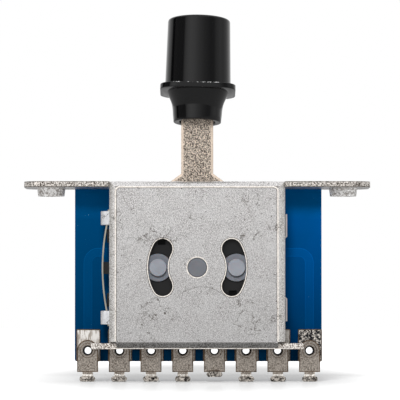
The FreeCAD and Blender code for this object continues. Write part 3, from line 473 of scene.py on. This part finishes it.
def nickel_finish(
    name, low, high, grain=0.16, contrast=0.2, rough=0.4, metal=1.0, darker_low=0.0, outline=None
):
    """Gritty plate: grains of two tones, clouds, hairline cracks in places, long scratches, specks.

    darker_low greys it towards its foot. outline paints shade along two heights, given in mm.
    """
    nickel = Finish(name, high, metal, rough)
    grit = nickel.noise(grain * MM, 4, rough=0.7)
    cloud = nickel.noise(2.6 * MM, 4)
    tone = nickel.mixed(nickel.between(grit, 0.5 - contrast / 2, 0.5 + contrast / 2), low, high)
    light = tuple(min(1, 1.12 * part) for part in high)
    tone = nickel.mixed(nickel.between(cloud, 0.4, 0.7, 0, 0.25), tone, light)
    height = nickel.tree.nodes.new("ShaderNodeSeparateXYZ")
    nickel.join(nickel.place, height.inputs[0])
    up = height.outputs["Z"]
    dusk = nickel.between(up, -3 * MM, -22 * MM, 0, darker_low)
    tone = nickel.mixed(dusk, tone, (0.3, 0.3, 0.3))
    veins = nickel.maths("ABSOLUTE", nickel.maths("SUBTRACT", nickel.noise(2.4 * MM, 4, rough=0.55), 0.5), 0)
    cracks = nickel.between(veins, 0.002, 0.011, 0.95, 0)
    places = nickel.between(nickel.noise(3.6 * MM, 2), 0.52, 0.59)
    tone = nickel.mixed(nickel.maths("MULTIPLY", cracks, places), tone, (0.12, 0.105, 0.09))
    hairs = nickel.maths("ABSOLUTE", nickel.maths("SUBTRACT", nickel.noise(1.3 * MM, 3), 0.5), 0)
    hairs = nickel.maths("MULTIPLY", nickel.between(hairs, 0.001, 0.008, 0.6, 0), places)
    tone = nickel.mixed(hairs, tone, (0.25, 0.23, 0.2))
    scratch = nickel.between(nickel.noise(0.12 * MM, 2, (30, 30, 1)), 0.7, 0.78, 0, 0.2)
    tone = nickel.mixed(scratch, tone, light)
    speck = nickel.between(nickel.noise(0.34 * MM, 2), 0.68, 0.74)
    tone = nickel.mixed(speck, tone, (0.12, 0.1, 0.09))
    # Painted shade: dark lines just inside the outline's two heights.
    if outline:
        foot, top = outline
        low_edge_shade = nickel.between(up, (foot + 0.16) * MM, (foot + 0.04) * MM, 0, 0.85)
        high_edge_shade = nickel.between(up, (top - 0.14) * MM, (top - 0.03) * MM, 0, 0.7)
        tone = nickel.mixed(nickel.maths("MAXIMUM", low_edge_shade, high_edge_shade), tone, (0.08, 0.065, 0.05))
    nickel.colour(tone)
    nickel.roughness(nickel.between(cloud, 0.3, 0.7, rough - 0.05, rough + 0.08))
    nickel.bump(nickel.maths("ADD", grit, nickel.noise(0.5 * MM, 3)), 0.03 * MM, 0.6)
    return nickel.material


box = softened_copy("frame", FRAME_EDGE)
plate = nickel_finish(
    "nickel plate", (0.4, 0.385, 0.38), (1.0, 0.98, 0.972),
    grain=0.115, contrast=0.14, rough=0.3, metal=0.82, darker_low=0.26,
)
box.data.materials.append(plate)
bent = nickel_finish(
    "nickel on the bends", (0.4, 0.38, 0.35), (1.0, 0.98, 0.96),
    grain=0.13, contrast=0.16, rough=0.5, metal=0.75,
)
mark(
    box,
    bent,
    lambda at, n: abs(at.x) > BEND_X and n.y < -0.08 and abs(n.x) > 0.1 and at.z > FACE_FOOT - 0.4,
)
# Painted shade: the band under the face, which looks down, gets dark nickel.
painted_underside_shade = nickel_finish(
    "grimy nickel under the face", (0.1, 0.095, 0.09), (0.52, 0.51, 0.5), contrast=0.12
)
mark(
    box,
    painted_underside_shade,
    lambda at, n: at.z < FACE_FOOT and abs(at.x) < BOX_HALF and n.z < -0.1 and at.y < BAND_BACK,
)
torn = nickel_finish(
    "sheared nickel edge", (0.14, 0.11, 0.085), (1.0, 0.94, 0.88), contrast=0.1, rough=0.35, metal=0.65
)
# The sheared edge of the plate gets painted shade along its top and bottom.
torn_plate = nickel_finish(
    "sheared edge of the plate", (0.05, 0.035, 0.025), (0.94, 0.88, 0.82),
    grain=0.22, contrast=0.1, rough=0.35, metal=0.7, outline=(-PLATE_T, 0),
)
mark(box, torn_plate, lambda at, n: at.z > -PLATE_T and abs(n.z) < 0.3)
knocked = nickel_finish(
    "knocked nickel", (0.3, 0.27, 0.245), (1.0, 0.99, 0.97), grain=0.36, contrast=0.16, rough=0.3, metal=0.0
)
mark(box, knocked, lambda at, n: at.z < -PLATE_T and abs(at.x) > BOSS_X - 3)
mark(box, torn, lambda at, n: at.z < EAR_TOP and abs(at.x) > BOX_HALF - 0.5 and n.y < -0.3)
smooth = nickel_finish(
    "smooth nickel", (0.84, 0.84, 0.87), (0.97, 0.97, 1.0), grain=0.3, contrast=0.4, rough=0.45, metal=0.8
)
mark(
    box,
    smooth,
    lambda at, n: at.x < -BOX_HALF - 0.1 and LOOPS_LOW < at.z < LOOPS_HIGH and n.y < -0.5,
)
# Painted shade on the rounded top and bottom edges of the plate's wings.
painted_edge_shade = nickel_finish(
    "dirt along the plate's edges", (0.06, 0.05, 0.04), (0.42, 0.38, 0.34), grain=0.2, rough=0.5
)
mark(
    box,
    painted_edge_shade,
    lambda at, n: at.z > -PLATE_T - 0.03 and n.y < -0.1 and 0.15 < abs(n.z) < 0.96 and abs(at.x) > WING_X,
)
# Painted highlight: bright beads along the slots' rims, round the pin, along the face's crease and on the
# fold.
painted_highlight = nickel_finish(
    "rubbed nickel", (0.5, 0.46, 0.42), (0.88, 0.83, 0.77), grain=0.25, contrast=0.3, rough=0.35, metal=0.4
)
# Painted shade: thin dark lines outside the slots' rims and inside the face's crease. The same dark finish
# also draws a real scratch on the face.
shade = nickel_finish(
    "dirt in the creases", (0.1, 0.09, 0.08), (0.4, 0.38, 0.36), grain=0.3, contrast=0.3, rough=0.5
)
for number, side in enumerate((-1, 1)):
    rim = bead(f"slot_rim_{number + 1}", kidney_line(side, 0.06), 0.15, 0.5, FACE_Y)
    rim.data.materials.append(painted_highlight)
    painted_shade = bead(f"slot_dirt_{number + 1}", kidney_line(side, 0.17), 0.08, 0.4, FACE_Y)
    painted_shade.data.materials.append(shade)
rim = bead("pin_rim", arc(0, PIVOT_Z, PIN_R + 0.12, 0, 360, 48)[:-1], 0.16, 0.5, FACE_Y)
rim.data.materials.append(painted_highlight)
line = [(CREASE_LEFT, CREASE_LOW)]
line += arc(CREASE_LEFT + CREASE_R, CREASE_TOP - CREASE_R, CREASE_R, 180, 90, 8)
line += arc(CREASE_RIGHT - CREASE_R, CREASE_TOP - CREASE_R, CREASE_R, 90, 0, 8)
line.append((CREASE_RIGHT, CREASE_LOW))
crease = bead("face_crease", line, 0.2, 0.4, FACE_Y, closed=False)
crease.data.materials.append(painted_highlight)
fold_line = [(-FOLD_HALF, FOLD_Z), (FOLD_HALF, FOLD_Z)]
fold = bead("fold_edge", fold_line, 0.15, 0.5, FOLD_Y, closed=False)
fold.data.materials.append(painted_highlight)
scratch_line = arc(*SCRATCH_MIDDLE, SCRATCH_R, 35, 140)
scratch = bead("face_scratch", scratch_line, 0.05, 0.4, FACE_Y, closed=False)
scratch.data.materials.append(shade)
inside = rounded_box(CREASE_LEFT + 0.14, CREASE_RIGHT - 0.15, FACE_FOOT, CREASE_TOP - 0.14, 0.5)
painted_shade = bead("crease_dirt", inside, 0.07, 0.4, FACE_Y)
painted_shade.data.materials.append(shade)

# Lever
# A flat blank of steel strip, pinched between the rotor's halves at its flared root. Its faces are
# gritty and brown-grey from rolling, and its bevelled edges are bright.


def rolled_steel_finish():
    steel = Finish("rolled steel strip", (0.5, 0.46, 0.41), 0.8, 0.5)
    grit = steel.noise(0.14 * MM, 3, rough=0.7)
    tone = steel.mixed(steel.between(grit, 0.44, 0.56), (0.07, 0.05, 0.04), (1.0, 0.87, 0.74))
    speck = steel.between(steel.noise(0.22 * MM, 2), 0.66, 0.7)
    steel.colour(steel.mixed(speck, tone, (0.1, 0.08, 0.07)))
    steel.bump(grit, 0.04 * MM, 0.8)
    return steel.material


def sheared_cream_finish():
    cream = Finish("bright sheared edge", (0.9, 0.8, 0.7), 0.2, 0.6)
    grit = cream.noise(0.25 * MM, 3)
    cream.colour(cream.mixed(cream.between(grit, 0.3, 0.7), (0.5, 0.4, 0.32), (0.72, 0.61, 0.51)))
    cream.bump(grit, 0.02 * MM, 0.5)
    return cream.material


blade = softened_copy("lever", edge=0.05)
blade.data.materials.append(rolled_steel_finish())
mark(blade, sheared_cream_finish(), lambda at, n: abs(n.y) < 0.95)

# Knob
# One polished black moulding, turned to a plain cylinder over a flange and a hollow-curved skirt. It is
# pushed on the lever's tang and leans back and a little to the right.

KNOB_FOOT = Vector((0, 0, 8.48))
LEAN_BACK = math.radians(6.8)
LEAN_RIGHT = math.radians(1.1)
FLANGE_SIDES = (10.66, 9.7)
FLANGE_CORNER = 2.5
FLANGE_LOW = 4.28
FLANGE_THICK = 0.76
KNOB_BLACK = (0.001, 0.001, 0.0012)
# The hollow inside, the skirt's hollow curve and the cylinder, each corner as radius, height, rounding.
KNOB_CORNERS = [
    (0.4, 1.3, 0),
    (2.5, 1.3, 0),
    (2.55, 0.12, 0),
    (2.72, 0, 0.1),
    (3.36, 0, 0.14),
    (3.47, 1, 0),
    (3.53, 1.9, 0.4),
    (3.7, 2.8, 0.4),
    (4.36, 4.28, 0.5),
    (4.66, 5.04, 0),
    (4.42, 14.8, 0.42),
    (0.4, 14.8, 0),
]


def turned_solid(name, rings, segments=128):
    """A closed solid raised ring by ring from its first disc: each ring is (radius, height) in mm."""
    radius, height = rings[0]
    bpy.ops.object.select_all(action="DESELECT")
    bpy.ops.mesh.primitive_circle_add(
        vertices=segments, radius=radius * MM, fill_type="NGON", location=(0, 0, height * MM)
    )
    solid = bpy.context.object
    solid.name = name
    bpy.ops.object.transform_apply(location=True)
    bpy.ops.object.mode_set(mode="EDIT")
    bpy.ops.mesh.select_all(action="SELECT")
    for next_radius, next_height in rings[1:]:
        bpy.ops.mesh.extrude_region_move(
            TRANSFORM_OT_translate={"value": (0, 0, (next_height - height) * MM)}
        )
        share = next_radius / radius
        bpy.ops.transform.resize(value=(share, share, 1), center_override=(0, 0, next_height * MM))
        radius, height = next_radius, next_height
    bpy.ops.mesh.select_all(action="SELECT")
    bpy.ops.mesh.normals_make_consistent(inside=False)
    bpy.ops.object.mode_set(mode="OBJECT")
    return solid


def rounded_profile(corners):
    """Rings through corners given as (radius, height, rounding), with each rounding as short arcs."""
    rings = []
    for before, here, after in zip(corners, corners[1:], corners[2:]):
        spot, size = Vector(here[:2]), here[2]
        if not size:
            rings.append(here[:2])
            continue
        start = spot + (Vector(before[:2]) - spot).normalized() * size
        end = spot + (Vector(after[:2]) - spot).normalized() * size
        for step in range(7):
            share = step / 6
            point = start * (1 - share) ** 2 + spot * 2 * share * (1 - share) + end * share**2
            rings.append(tuple(point))
    return [corners[0][:2]] + rings + [corners[-1][:2]]


def flange_plate():
    """The squarish flange: a plate with its four corners rounded, raised to its thickness."""
    bpy.ops.object.select_all(action="DESELECT")
    bpy.ops.mesh.primitive_plane_add(size=1)
    plate = bpy.context.object
    plate.name = "knob_flange"
    plate.data.transform(Matrix.Diagonal((FLANGE_SIDES[0] * MM, FLANGE_SIDES[1] * MM, 1, 1)))
    plate.data.transform(Matrix.Translation((0, 0, FLANGE_LOW * MM)))
    bpy.ops.object.mode_set(mode="EDIT")
    bpy.ops.mesh.select_all(action="SELECT")
    bpy.ops.mesh.bevel(offset=FLANGE_CORNER * MM, segments=16, affect="VERTICES", offset_type="OFFSET")
    bpy.ops.mesh.select_all(action="SELECT")
    bpy.ops.mesh.extrude_region_move(TRANSFORM_OT_translate={"value": (0, 0, FLANGE_THICK * MM)})
    bpy.ops.mesh.select_all(action="SELECT")
    bpy.ops.mesh.normals_make_consistent(inside=False)
    bpy.ops.object.mode_set(mode="OBJECT")
    bpy.ops.object.modifier_add(type="BEVEL")
    plate.modifiers[-1].width = 0.1 * MM
    plate.modifiers[-1].segments = 3
    plate.modifiers[-1].limit_method = "ANGLE"
    plate.modifiers[-1].angle_limit = math.radians(40)
    bpy.ops.object.modifier_apply(modifier=plate.modifiers[-1].name)
    return plate


def united(solid, other):
    """The solid fused with the other one, which goes."""
    bpy.ops.object.select_all(action="DESELECT")
    bpy.context.view_layer.objects.active = solid
    solid.select_set(True)
    fuse = solid.modifiers.new("fuse", "BOOLEAN")
    fuse.operation = "UNION"
    fuse.solver = "EXACT"
    fuse.object = other
    bpy.ops.object.modifier_apply(modifier="fuse")
    bpy.data.objects.remove(other)
    return solid


def knob_finish():
    """Polished black, with a thin broken painted highlight along the flange's upper edge."""
    black = Finish("polished black moulding", KNOB_BLACK, 0.0, 0.05)
    upright = black.tree.nodes.new("ShaderNodeMapping")
    upright.vector_type = "TEXTURE"
    upright.inputs["Location"].default_value = KNOB_FOOT * MM
    upright.inputs["Rotation"].default_value = (-LEAN_BACK, LEAN_RIGHT, 0)
    black.join(black.place, upright.inputs["Vector"])
    height = black.tree.nodes.new("ShaderNodeSeparateXYZ")
    black.join(upright.outputs[0], height.inputs[0])
    edge = (FLANGE_LOW + FLANGE_THICK) * MM
    away = black.maths("ABSOLUTE", black.maths("SUBTRACT", height.outputs["Z"], edge), 0)
    inset = []
    for axis, side in zip("XY", FLANGE_SIDES):
        across = black.maths("ABSOLUTE", height.outputs[axis], 0)
        inset.append(black.maths("SUBTRACT", across, side / 2 * MM))
    rim = black.between(black.maths("MAXIMUM", *inset), -0.14 * MM, -0.08 * MM)
    line = black.maths("MULTIPLY", rim, black.between(away, 0.05 * MM, 0.13 * MM, 1, 0))
    # Painted highlight along the flange's upper edge, broken up by noise.
    painted_glint = black.maths("MULTIPLY", line, black.between(black.noise(0.5 * MM, 4, rough=0.7), 0.5, 0.62))
    black.colour(black.mixed(painted_glint, KNOB_BLACK, (0.6, 0.6, 0.6)))
    haze = black.noise(0.5 * MM, 3)
    black.roughness(black.between(haze, 0.3, 0.7, 0.04, 0.09))
    black.bump(black.noise(1.6 * MM, 2), 0.008 * MM, 0.2)
    return black.material


knob = turned_solid("knob_finished", rounded_profile(KNOB_CORNERS))
knob = united(knob, flange_plate())
lean = Matrix.Rotation(LEAN_RIGHT, 4, "Y") @ Matrix.Rotation(-LEAN_BACK, 4, "X")
knob.data.transform(Matrix.Translation(KNOB_FOOT * MM) @ lean)
bpy.ops.object.shade_smooth_by_angle(angle=math.radians(40))
knob.data.materials.append(knob_finish())
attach(knob, "lever_body")
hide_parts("knob")

# Rotor and follower
# Black filled mouldings, matt: the rotor that the lever turns, seen through the curved slots, and the small
# follower in the left wall's window. Two small black blocks sit on that wall's dimples behind the bowed
# spring and darken the gap there.

BLOCK_OUT = 0.38
BLOCK_WIDE = 2.2
BLOCK_TALL = 1.9
BLOCK_DROP = 4.5
DETENT_Y = -1.4


def filled_moulding_finish():
    black = Finish("black filled moulding", (0.005, 0.005, 0.0053), 0.0, 0.5)
    black.bump(black.noise(0.3 * MM, 3), 0.01 * MM, 0.4)
    return black.material


def give(node, material):
    """Gives a CAD node, as it is, one material."""
    frame["nodes"][node].data.materials.clear()
    frame["nodes"][node].data.materials.append(material)


def black_block_behind_spring(name, z):
    """A small black block on the left wall behind the bowed spring, with its outer edges rounded."""
    bpy.ops.object.select_all(action="DESELECT")
    bpy.ops.mesh.primitive_cube_add(size=1)
    stop = bpy.context.object
    stop.name = name
    stop.data.transform(Matrix.Diagonal((BLOCK_OUT * MM, BLOCK_WIDE * MM, BLOCK_TALL * MM, 1)))
    stop.data.transform(Matrix.Translation(Vector((-BOX_HALF - BLOCK_OUT / 2, DETENT_Y, z)) * MM))
    bpy.ops.object.mode_set(mode="EDIT")
    bpy.ops.mesh.select_all(action="SELECT")
    bpy.ops.mesh.bevel(offset=0.12 * MM, segments=3, affect="EDGES")
    bpy.ops.object.mode_set(mode="OBJECT")
    bpy.ops.object.shade_smooth_by_angle(angle=math.radians(40))
    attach(stop, "switch_body")
    return stop


moulding = filled_moulding_finish()
for node in ("rotor", "detent_follower"):
    give(node, moulding)
for number, drop in enumerate((-BLOCK_DROP, BLOCK_DROP)):
    black_block_behind_spring(f"black_block_behind_spring_{number + 1}", PIVOT_Z + drop).data.materials.append(moulding)

# Guide buttons and pivot pin
# Turned nylon: two stepped white buttons that the rotor carries along the curved slots, and the
# pin between them, which the rotor turns on. The buttons' discs, lying deeper in the slots, and the pin
# get the white nylon darker, as painted shade.

BOSS_FACE_Y = -5.35


def nylon_finish(name, colour):
    nylon = Finish(name, colour, 0.0, 0.4)
    tone = nylon.noise(1.4 * MM, 2)
    low = tuple(0.86 * part for part in colour)
    nylon.colour(nylon.mixed(nylon.between(tone, 0.3, 0.7), low, colour))
    nylon.shader.inputs["Subsurface Weight"].default_value = 0.15
    nylon.shader.inputs["Subsurface Scale"].default_value = 0.5 * MM
    nylon.bump(nylon.noise(0.2 * MM, 2), 0.005 * MM, 0.3)
    return nylon.material


boss_nylon = nylon_finish("white nylon", (0.178, 0.187, 0.21))
# Painted shade: the discs' nylon is a darker copy of the bosses' white nylon.
shaded_disc_nylon = nylon_finish("white nylon in the shade", (0.112, 0.118, 0.136))
for side in ("left", "right"):
    button = softened_copy(f"guide_button_{side}", edge=0.1)
    button.data.materials.append(boss_nylon)
    mark(button, shaded_disc_nylon, lambda at, n: at.y > BOSS_FACE_Y + 0.2)
# Painted shade: the pin's grey is the white nylon darkened.
give("pivot_pin", nylon_finish("grey nylon", (0.1, 0.105, 0.118)))

# Springs and wipers
# Thin rolled strip: the bowed detent spring held by the left wall's loops, the leaf whose ends show
# outside the right wall, and the two bridge contacts that the rotor carries over the board.


def strip_finish(name, colour):
    strip = Finish(name, colour, 1.0, 0.28)
    grain = strip.noise(0.3 * MM, 4, (1, 1, 8))
    low = tuple(0.75 * part for part in colour)
    strip.colour(strip.mixed(strip.between(grain, 0.3, 0.7), low, colour))
    return strip.material


give("detent_spring", strip_finish("spring bronze", (0.8, 0.74, 0.62)))
give("side_spring", strip_finish("bright spring steel", (0.85, 0.8, 0.78)))
for side in ("left", "right"):
    give(f"contact_wiper_{side}", strip_finish(f"wiper bronze {side}", (0.75, 0.62, 0.42)))

# Contact board
# Fibre board under blue lacquer, hung on the side walls' four tabs, which are bent over behind it.
# Copper tracks stand up under the coating, and silvered arcs inside the box meet the wipers.

BOARD_Y = 3.1
FACING = 0.97
BOARD_FOOT = -24
BOARD_LIT = -4
BOARD_SIDE = 17.5
PAINTED_LIGHT_UNDER_PLATE = (-5.2, -2.9)
PAINTED_LIGHT_UNDER_BOX = (-23.5, -24.2)
PAINTED_LIGHT_BOX_SIDE = (12.6, 13.4)


def lacquer_finish(name, lift=1.0):
    """Blue lacquer with painted light: lighter towards the right and the top, and lighter where the
    plate and the box cast their shadows on it.

    lift is how much lighter the whole is.
    """
    blue = Finish(name, (0.002, 0.075, 0.19), 0.0, 0.35)
    low_left, low_right = (0.0, 0.014 * lift, 0.044 * lift), (0.0, 0.0105 * lift, 0.037 * lift)
    high_left, high_right = (0.0, 0.031 * lift, 0.092 * lift), (0.0, 0.046 * lift, 0.175 * lift)
    cloud = blue.noise(3 * MM, 4)
    side = blue.tree.nodes.new("ShaderNodeSeparateXYZ")
    blue.join(blue.place, side.inputs[0])
    # Painted light: lighter towards the right and the top.
    across = blue.between(side.outputs["X"], -BOARD_SIDE * MM, BOARD_SIDE * MM)
    tone = blue.mixed(across, low_left, low_right)
    up = blue.between(side.outputs["Z"], BOARD_FOOT * MM, BOARD_LIT * MM)
    tone = blue.mixed(up, tone, blue.mixed(across, high_left, high_right))
    # Painted light that lifts the shadows cast on the board by the plate and by the box.
    painted_light_under_plate = blue.between(side.outputs["Z"], PAINTED_LIGHT_UNDER_PLATE[0] * MM, PAINTED_LIGHT_UNDER_PLATE[1] * MM, 0, 0.7)
    tone = blue.mixed(painted_light_under_plate, tone, (0.0, 0.09 * lift, 0.27 * lift))
    painted_light_under_box = blue.between(side.outputs["Z"], PAINTED_LIGHT_UNDER_BOX[0] * MM, PAINTED_LIGHT_UNDER_BOX[1] * MM)
    aside = blue.maths("ABSOLUTE", side.outputs["X"], 0)
    within = blue.between(aside, PAINTED_LIGHT_BOX_SIDE[0] * MM, PAINTED_LIGHT_BOX_SIDE[1] * MM, 1, 0)
    tone = blue.mixed(blue.maths("MULTIPLY", painted_light_under_box, within), tone, (0.0, 0.034, 0.1))
    tone = blue.mixed(blue.between(cloud, 0.35, 0.65, 0, 0.2), tone, high_left)
    speck = blue.between(blue.noise(0.22 * MM, 1), 0.78, 0.8, 0, 0.5)
    blue.colour(blue.mixed(speck, tone, (0.35, 0.5, 0.6)))
    blue.shader.inputs["Specular Tint"].default_value = (0.0, 0.25, 0.6, 1)
    blue.shader.inputs["Specular IOR Level"].default_value = 0.5
    blue.bump(blue.noise(0.35 * MM, 3), 0.004 * MM, 0.4)
    return blue.material


board = softened_copy("contact_board", edge=0.04, angle=50)
board.data.materials.append(lacquer_finish("blue lacquer"))
over_copper = lacquer_finish("blue lacquer over copper", 1.22)
mark(board, over_copper, lambda at, n: at.y < BOARD_Y - 0.005)
# Painted highlight: the edges of the board and of its raised tracks get a lighter lacquer.
edge_highlight_lacquer = lacquer_finish("blue lacquer, thin", 2.0)
mark(board, edge_highlight_lacquer, lambda at, n: at.y < BOARD_Y + 0.05 and n.y > -FACING)
give("contact_tracks", strip_finish("silvered arcs", (0.85, 0.84, 0.8)))

# Solder pads and lugs
# Stamped brass lugs, tinned in a bath and soldered flat on the board's pads: brown-grey on the faces,
# dark at the sheared edges and bright on the necks, with lumps of solder on the T-shaped feet.

LUGS = 8
LUG_PITCH = 4.5
LUG_SHIFT = 0.2
LUG_HALF = 1.475
LUG_FACE_Y = 2.2
LUG_HOLE_Z = -23.77
LUG_SHOULDER_Z = -26.76
LUG_RINGS = ((0.84, 0.2), (1.02, 0.08), (1.24, 0.16))
BURR = 0.17
BURR_INSET = 0.05
GLINT = 0.1
GLINT_INSET = 0.24
GLINT_ENDS = (0.2, 0.3)
HOLE_SHADE = 0.2
HOLE_SHADE_R = 0.6
HOLE_SHADE_Y = 2.85
PAD_SHIFT = 0.08
PAD_HALF = 1.64
PAD_LOW = -25.25
PAD_TOP = -20.81
PAD_FACE_Y = 2.95
PAD_RIM = 0.15
END_PADS_X = 13.5
FOOT_HEAD_Y = 1.0
FOOT_Z = -27.77
FOOT_MARGIN = 0.35
FIFTH_LIFT = 0.65
DROP = (1.08, 0.42, 0.375)
DROP_LUMPS = 0.14
DROP_RIPPLES = 0.05


def tin_finish(name, dull, bright, roughness, grain=0.3, contrast=0.3):
    """Tin over brass: a mottle from dull to bright, brighter clouds, and dark specks."""
    tin = Finish(name, dull, 1.0, roughness)
    mottle = tin.noise(grain * MM, 5, rough=0.65)
    cloud = tin.noise(1.1 * MM, 3)
    speck = tin.between(tin.noise(0.2 * MM, 2), 0.62, 0.7)
    tone = tin.mixed(tin.between(mottle, 0.5 - contrast / 2, 0.5 + contrast / 2), dull, bright)
    tone = tin.mixed(tin.between(cloud, 0.4, 0.7, 0, 0.5), tone, bright)
    tin.colour(tin.mixed(speck, tone, (0.12, 0.1, 0.08)))
    tin.bump(tin.maths("ADD", mottle, cloud), 0.06 * MM, 0.7)
    return tin


def pad_finish():
    """Solder: bright and streaked on the first pad, blackened by flux on the last, mottled between."""
    tin = tin_finish("solder", (0.34, 0.31, 0.28), (0.78, 0.74, 0.68), 0.35)
    tin.shader.inputs["Metallic"].default_value = 0.65
    plain = tin.shader.inputs["Base Color"].links[0].from_socket
    side = tin.tree.nodes.new("ShaderNodeSeparateXYZ")
    tin.join(tin.place, side.inputs[0])
    streaks = tin.noise(0.3 * MM, 4, (1, 1, 5), 0.6)
    streaked = tin.mixed(tin.between(streaks, 0.44, 0.54), (0.42, 0.37, 0.32), (0.9, 0.87, 0.83))
    first = tin.between(side.outputs["X"], -(END_PADS_X + 0.1) * MM, -END_PADS_X * MM, 1, 0)
    tone = tin.mixed(first, plain, streaked)
    flux_and_hole_shade = tin.noise(0.42 * MM, 5, rough=0.75)
    burnt = tin.mixed(tin.between(flux_and_hole_shade, 0.5, 0.57), (0.012, 0.012, 0.015), (0.85, 0.79, 0.72))
    last = tin.between(side.outputs["X"], END_PADS_X * MM, (END_PADS_X + 0.1) * MM)
    tin.colour(tin.mixed(last, tone, burnt))
    return tin.material


def tin_lug(node):
    """A lug's brown tin, its sheared edges, dark or with a painted glint, its bright neck and soldered foot.
    """
    lug = softened_copy(node, edge=0.15)
    lug.data.materials.append(lug_tin)
    mark(lug, lug_edge, lambda at, n: n.y > -FACING and abs(n.z) < 0.75)
    # Painted glint on the bevel of the right edge.
    mark(lug, lug_glint, lambda at, n: -FACING < n.y < -0.6 and n.x > 0.2)
    mark(lug, neck_tin, lambda at, n: at.z < LUG_SHOULDER_Z)
    foot_top = LUG_SHOULDER_Z - FOOT_MARGIN
    foot_back = FOOT_HEAD_Y + FOOT_MARGIN
    mark(lug, foot_tin, lambda at, n: at.z < foot_top and at.y < foot_back)


def tin_line(name, points, thick, y, tin, flat=0.5, closed=True):
    """A raised line on a lug or a pad, in its own tin."""
    line = bead(name, points, thick, flat, y, closed)
    line.data.materials.append(tin)


def lug_lines(node, middle):
    """What the punch left on a lug, rings round the hole and a burr along the outline, and a painted glint.
    """
    for turn, (r, thick) in enumerate(LUG_RINGS, 1):
        ring = arc(middle, LUG_HOLE_Z, r, 0, 360, 40)[:-1]
        tin_line(f"{node}_ring_{turn}", ring, thick, LUG_FACE_Y, lug_edge if turn == 2 else ring_tin)
    half = LUG_HALF - BURR_INSET
    outline = arc(middle, LUG_HOLE_Z, half, 0, 180)
    outline += [(middle - half, LUG_SHOULDER_Z), (middle + half, LUG_SHOULDER_Z)]
    tin_line(f"{node}_burr", outline, BURR, LUG_FACE_Y, lug_edge)
    right = middle + LUG_HALF - GLINT_INSET
    glint_line = [(right, LUG_SHOULDER_Z + GLINT_ENDS[0]), (right, LUG_HOLE_Z - GLINT_ENDS[1])]
    tin_line(f"{node}_glint", glint_line, GLINT, LUG_FACE_Y, lug_glint, closed=False)


def solder_drop(name, x, lift):
    """The lumpy solder on a foot's head: a ball drawn out along the head, with dents and ridges."""
    bpy.ops.object.select_all(action="DESELECT")
    bpy.ops.mesh.primitive_ico_sphere_add(subdivisions=5, radius=1)
    drop = bpy.context.object
    drop.name = name
    for corner in drop.data.vertices:
        way = corner.co.copy()
        lumps = noise.noise(Vector((way.x * 2.2 + x, way.y * 1.4, way.z * 1.4)))
        fine = noise.noise(way * 4.5 + Vector((x, 0, 0)))
        spread = 1 + DROP_LUMPS * lumps + DROP_RIPPLES * fine
        corner.co = (DROP[0] * way.x * spread, DROP[1] * way.y * spread, DROP[2] * way.z)
    drop.data.transform(Matrix.Diagonal((MM, MM, MM, 1)))
    drop.data.transform(Matrix.Translation(Vector((x, FOOT_HEAD_Y, FOOT_Z + lift)) * MM))
    bpy.ops.object.shade_smooth()
    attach(drop, "switch_body")
    return drop


pads = softened_copy("solder_pads", edge=0.12)
pads.data.materials.append(pad_finish())
lug_tin = tin_finish("tinned brass", (0.2, 0.16, 0.125), (0.88, 0.79, 0.7), 0.36, 0.22, 0.2).material
lug_edge = tin_finish("sheared brass edge", (0.1, 0.065, 0.04), (0.4, 0.3, 0.22), 0.45).material
# Painted highlight: the glint on each lug's right edge.
lug_glint = tin_finish("rubbed brass edge", (0.6, 0.52, 0.44), (1.0, 0.95, 0.88), 0.45).material
bright_tin = tin_finish("bright tin on the necks", (0.42, 0.37, 0.32), (1.0, 0.97, 0.92), 0.35, 0.3, 0.16)
bright_tin.shader.inputs["Metallic"].default_value = 0.5
neck_tin = bright_tin.material
ring_tin = tin_finish("tin round the holes", (0.34, 0.29, 0.25), (0.82, 0.76, 0.69), 0.36, 0.3, 0.24).material
burnt_tin, clean_tin = (0.008, 0.006, 0.005), (1.0, 0.92, 0.83)
foot_tin = tin_finish("solder on the feet", burnt_tin, clean_tin, 0.2, 0.36, 0.08).material
# Painted shade: a black ring in each lug's hole, where the board's face lies in shade. The last pad's flux
# burns are real.
flux_and_hole_shade = tin_finish("flux in the holes", (0.01, 0.009, 0.008), (0.05, 0.045, 0.04), 0.5).material
mark(pads, lug_edge, lambda at, n: n.y > -FACING)
for number in range(1, LUGS + 1):
    node = f"lug_{number}"
    middle = (number - (LUGS + 1) / 2) * LUG_PITCH + LUG_SHIFT
    tin_lug(node)
    lug_lines(node, middle)
    pad_middle = middle + PAD_SHIFT
    pad_line = rounded_box(pad_middle - PAD_HALF, pad_middle + PAD_HALF, PAD_LOW, PAD_TOP, 0.15)
    tin_line(f"pad_{number}_rim", pad_line, PAD_RIM, PAD_FACE_Y, lug_edge)
    # A black ring in the hole, as painted shade.
    hole_shade_ring = arc(middle, LUG_HOLE_Z, HOLE_SHADE_R, 0, 360, 32)[:-1]
    tin_line(f"{node}_flux", hole_shade_ring, HOLE_SHADE, HOLE_SHADE_Y, flux_and_hole_shade, flat=1)
    drop = solder_drop(f"{node}_solder", middle, FIFTH_LIFT if number == 5 else 0)
    drop.data.materials.append(foot_tin)
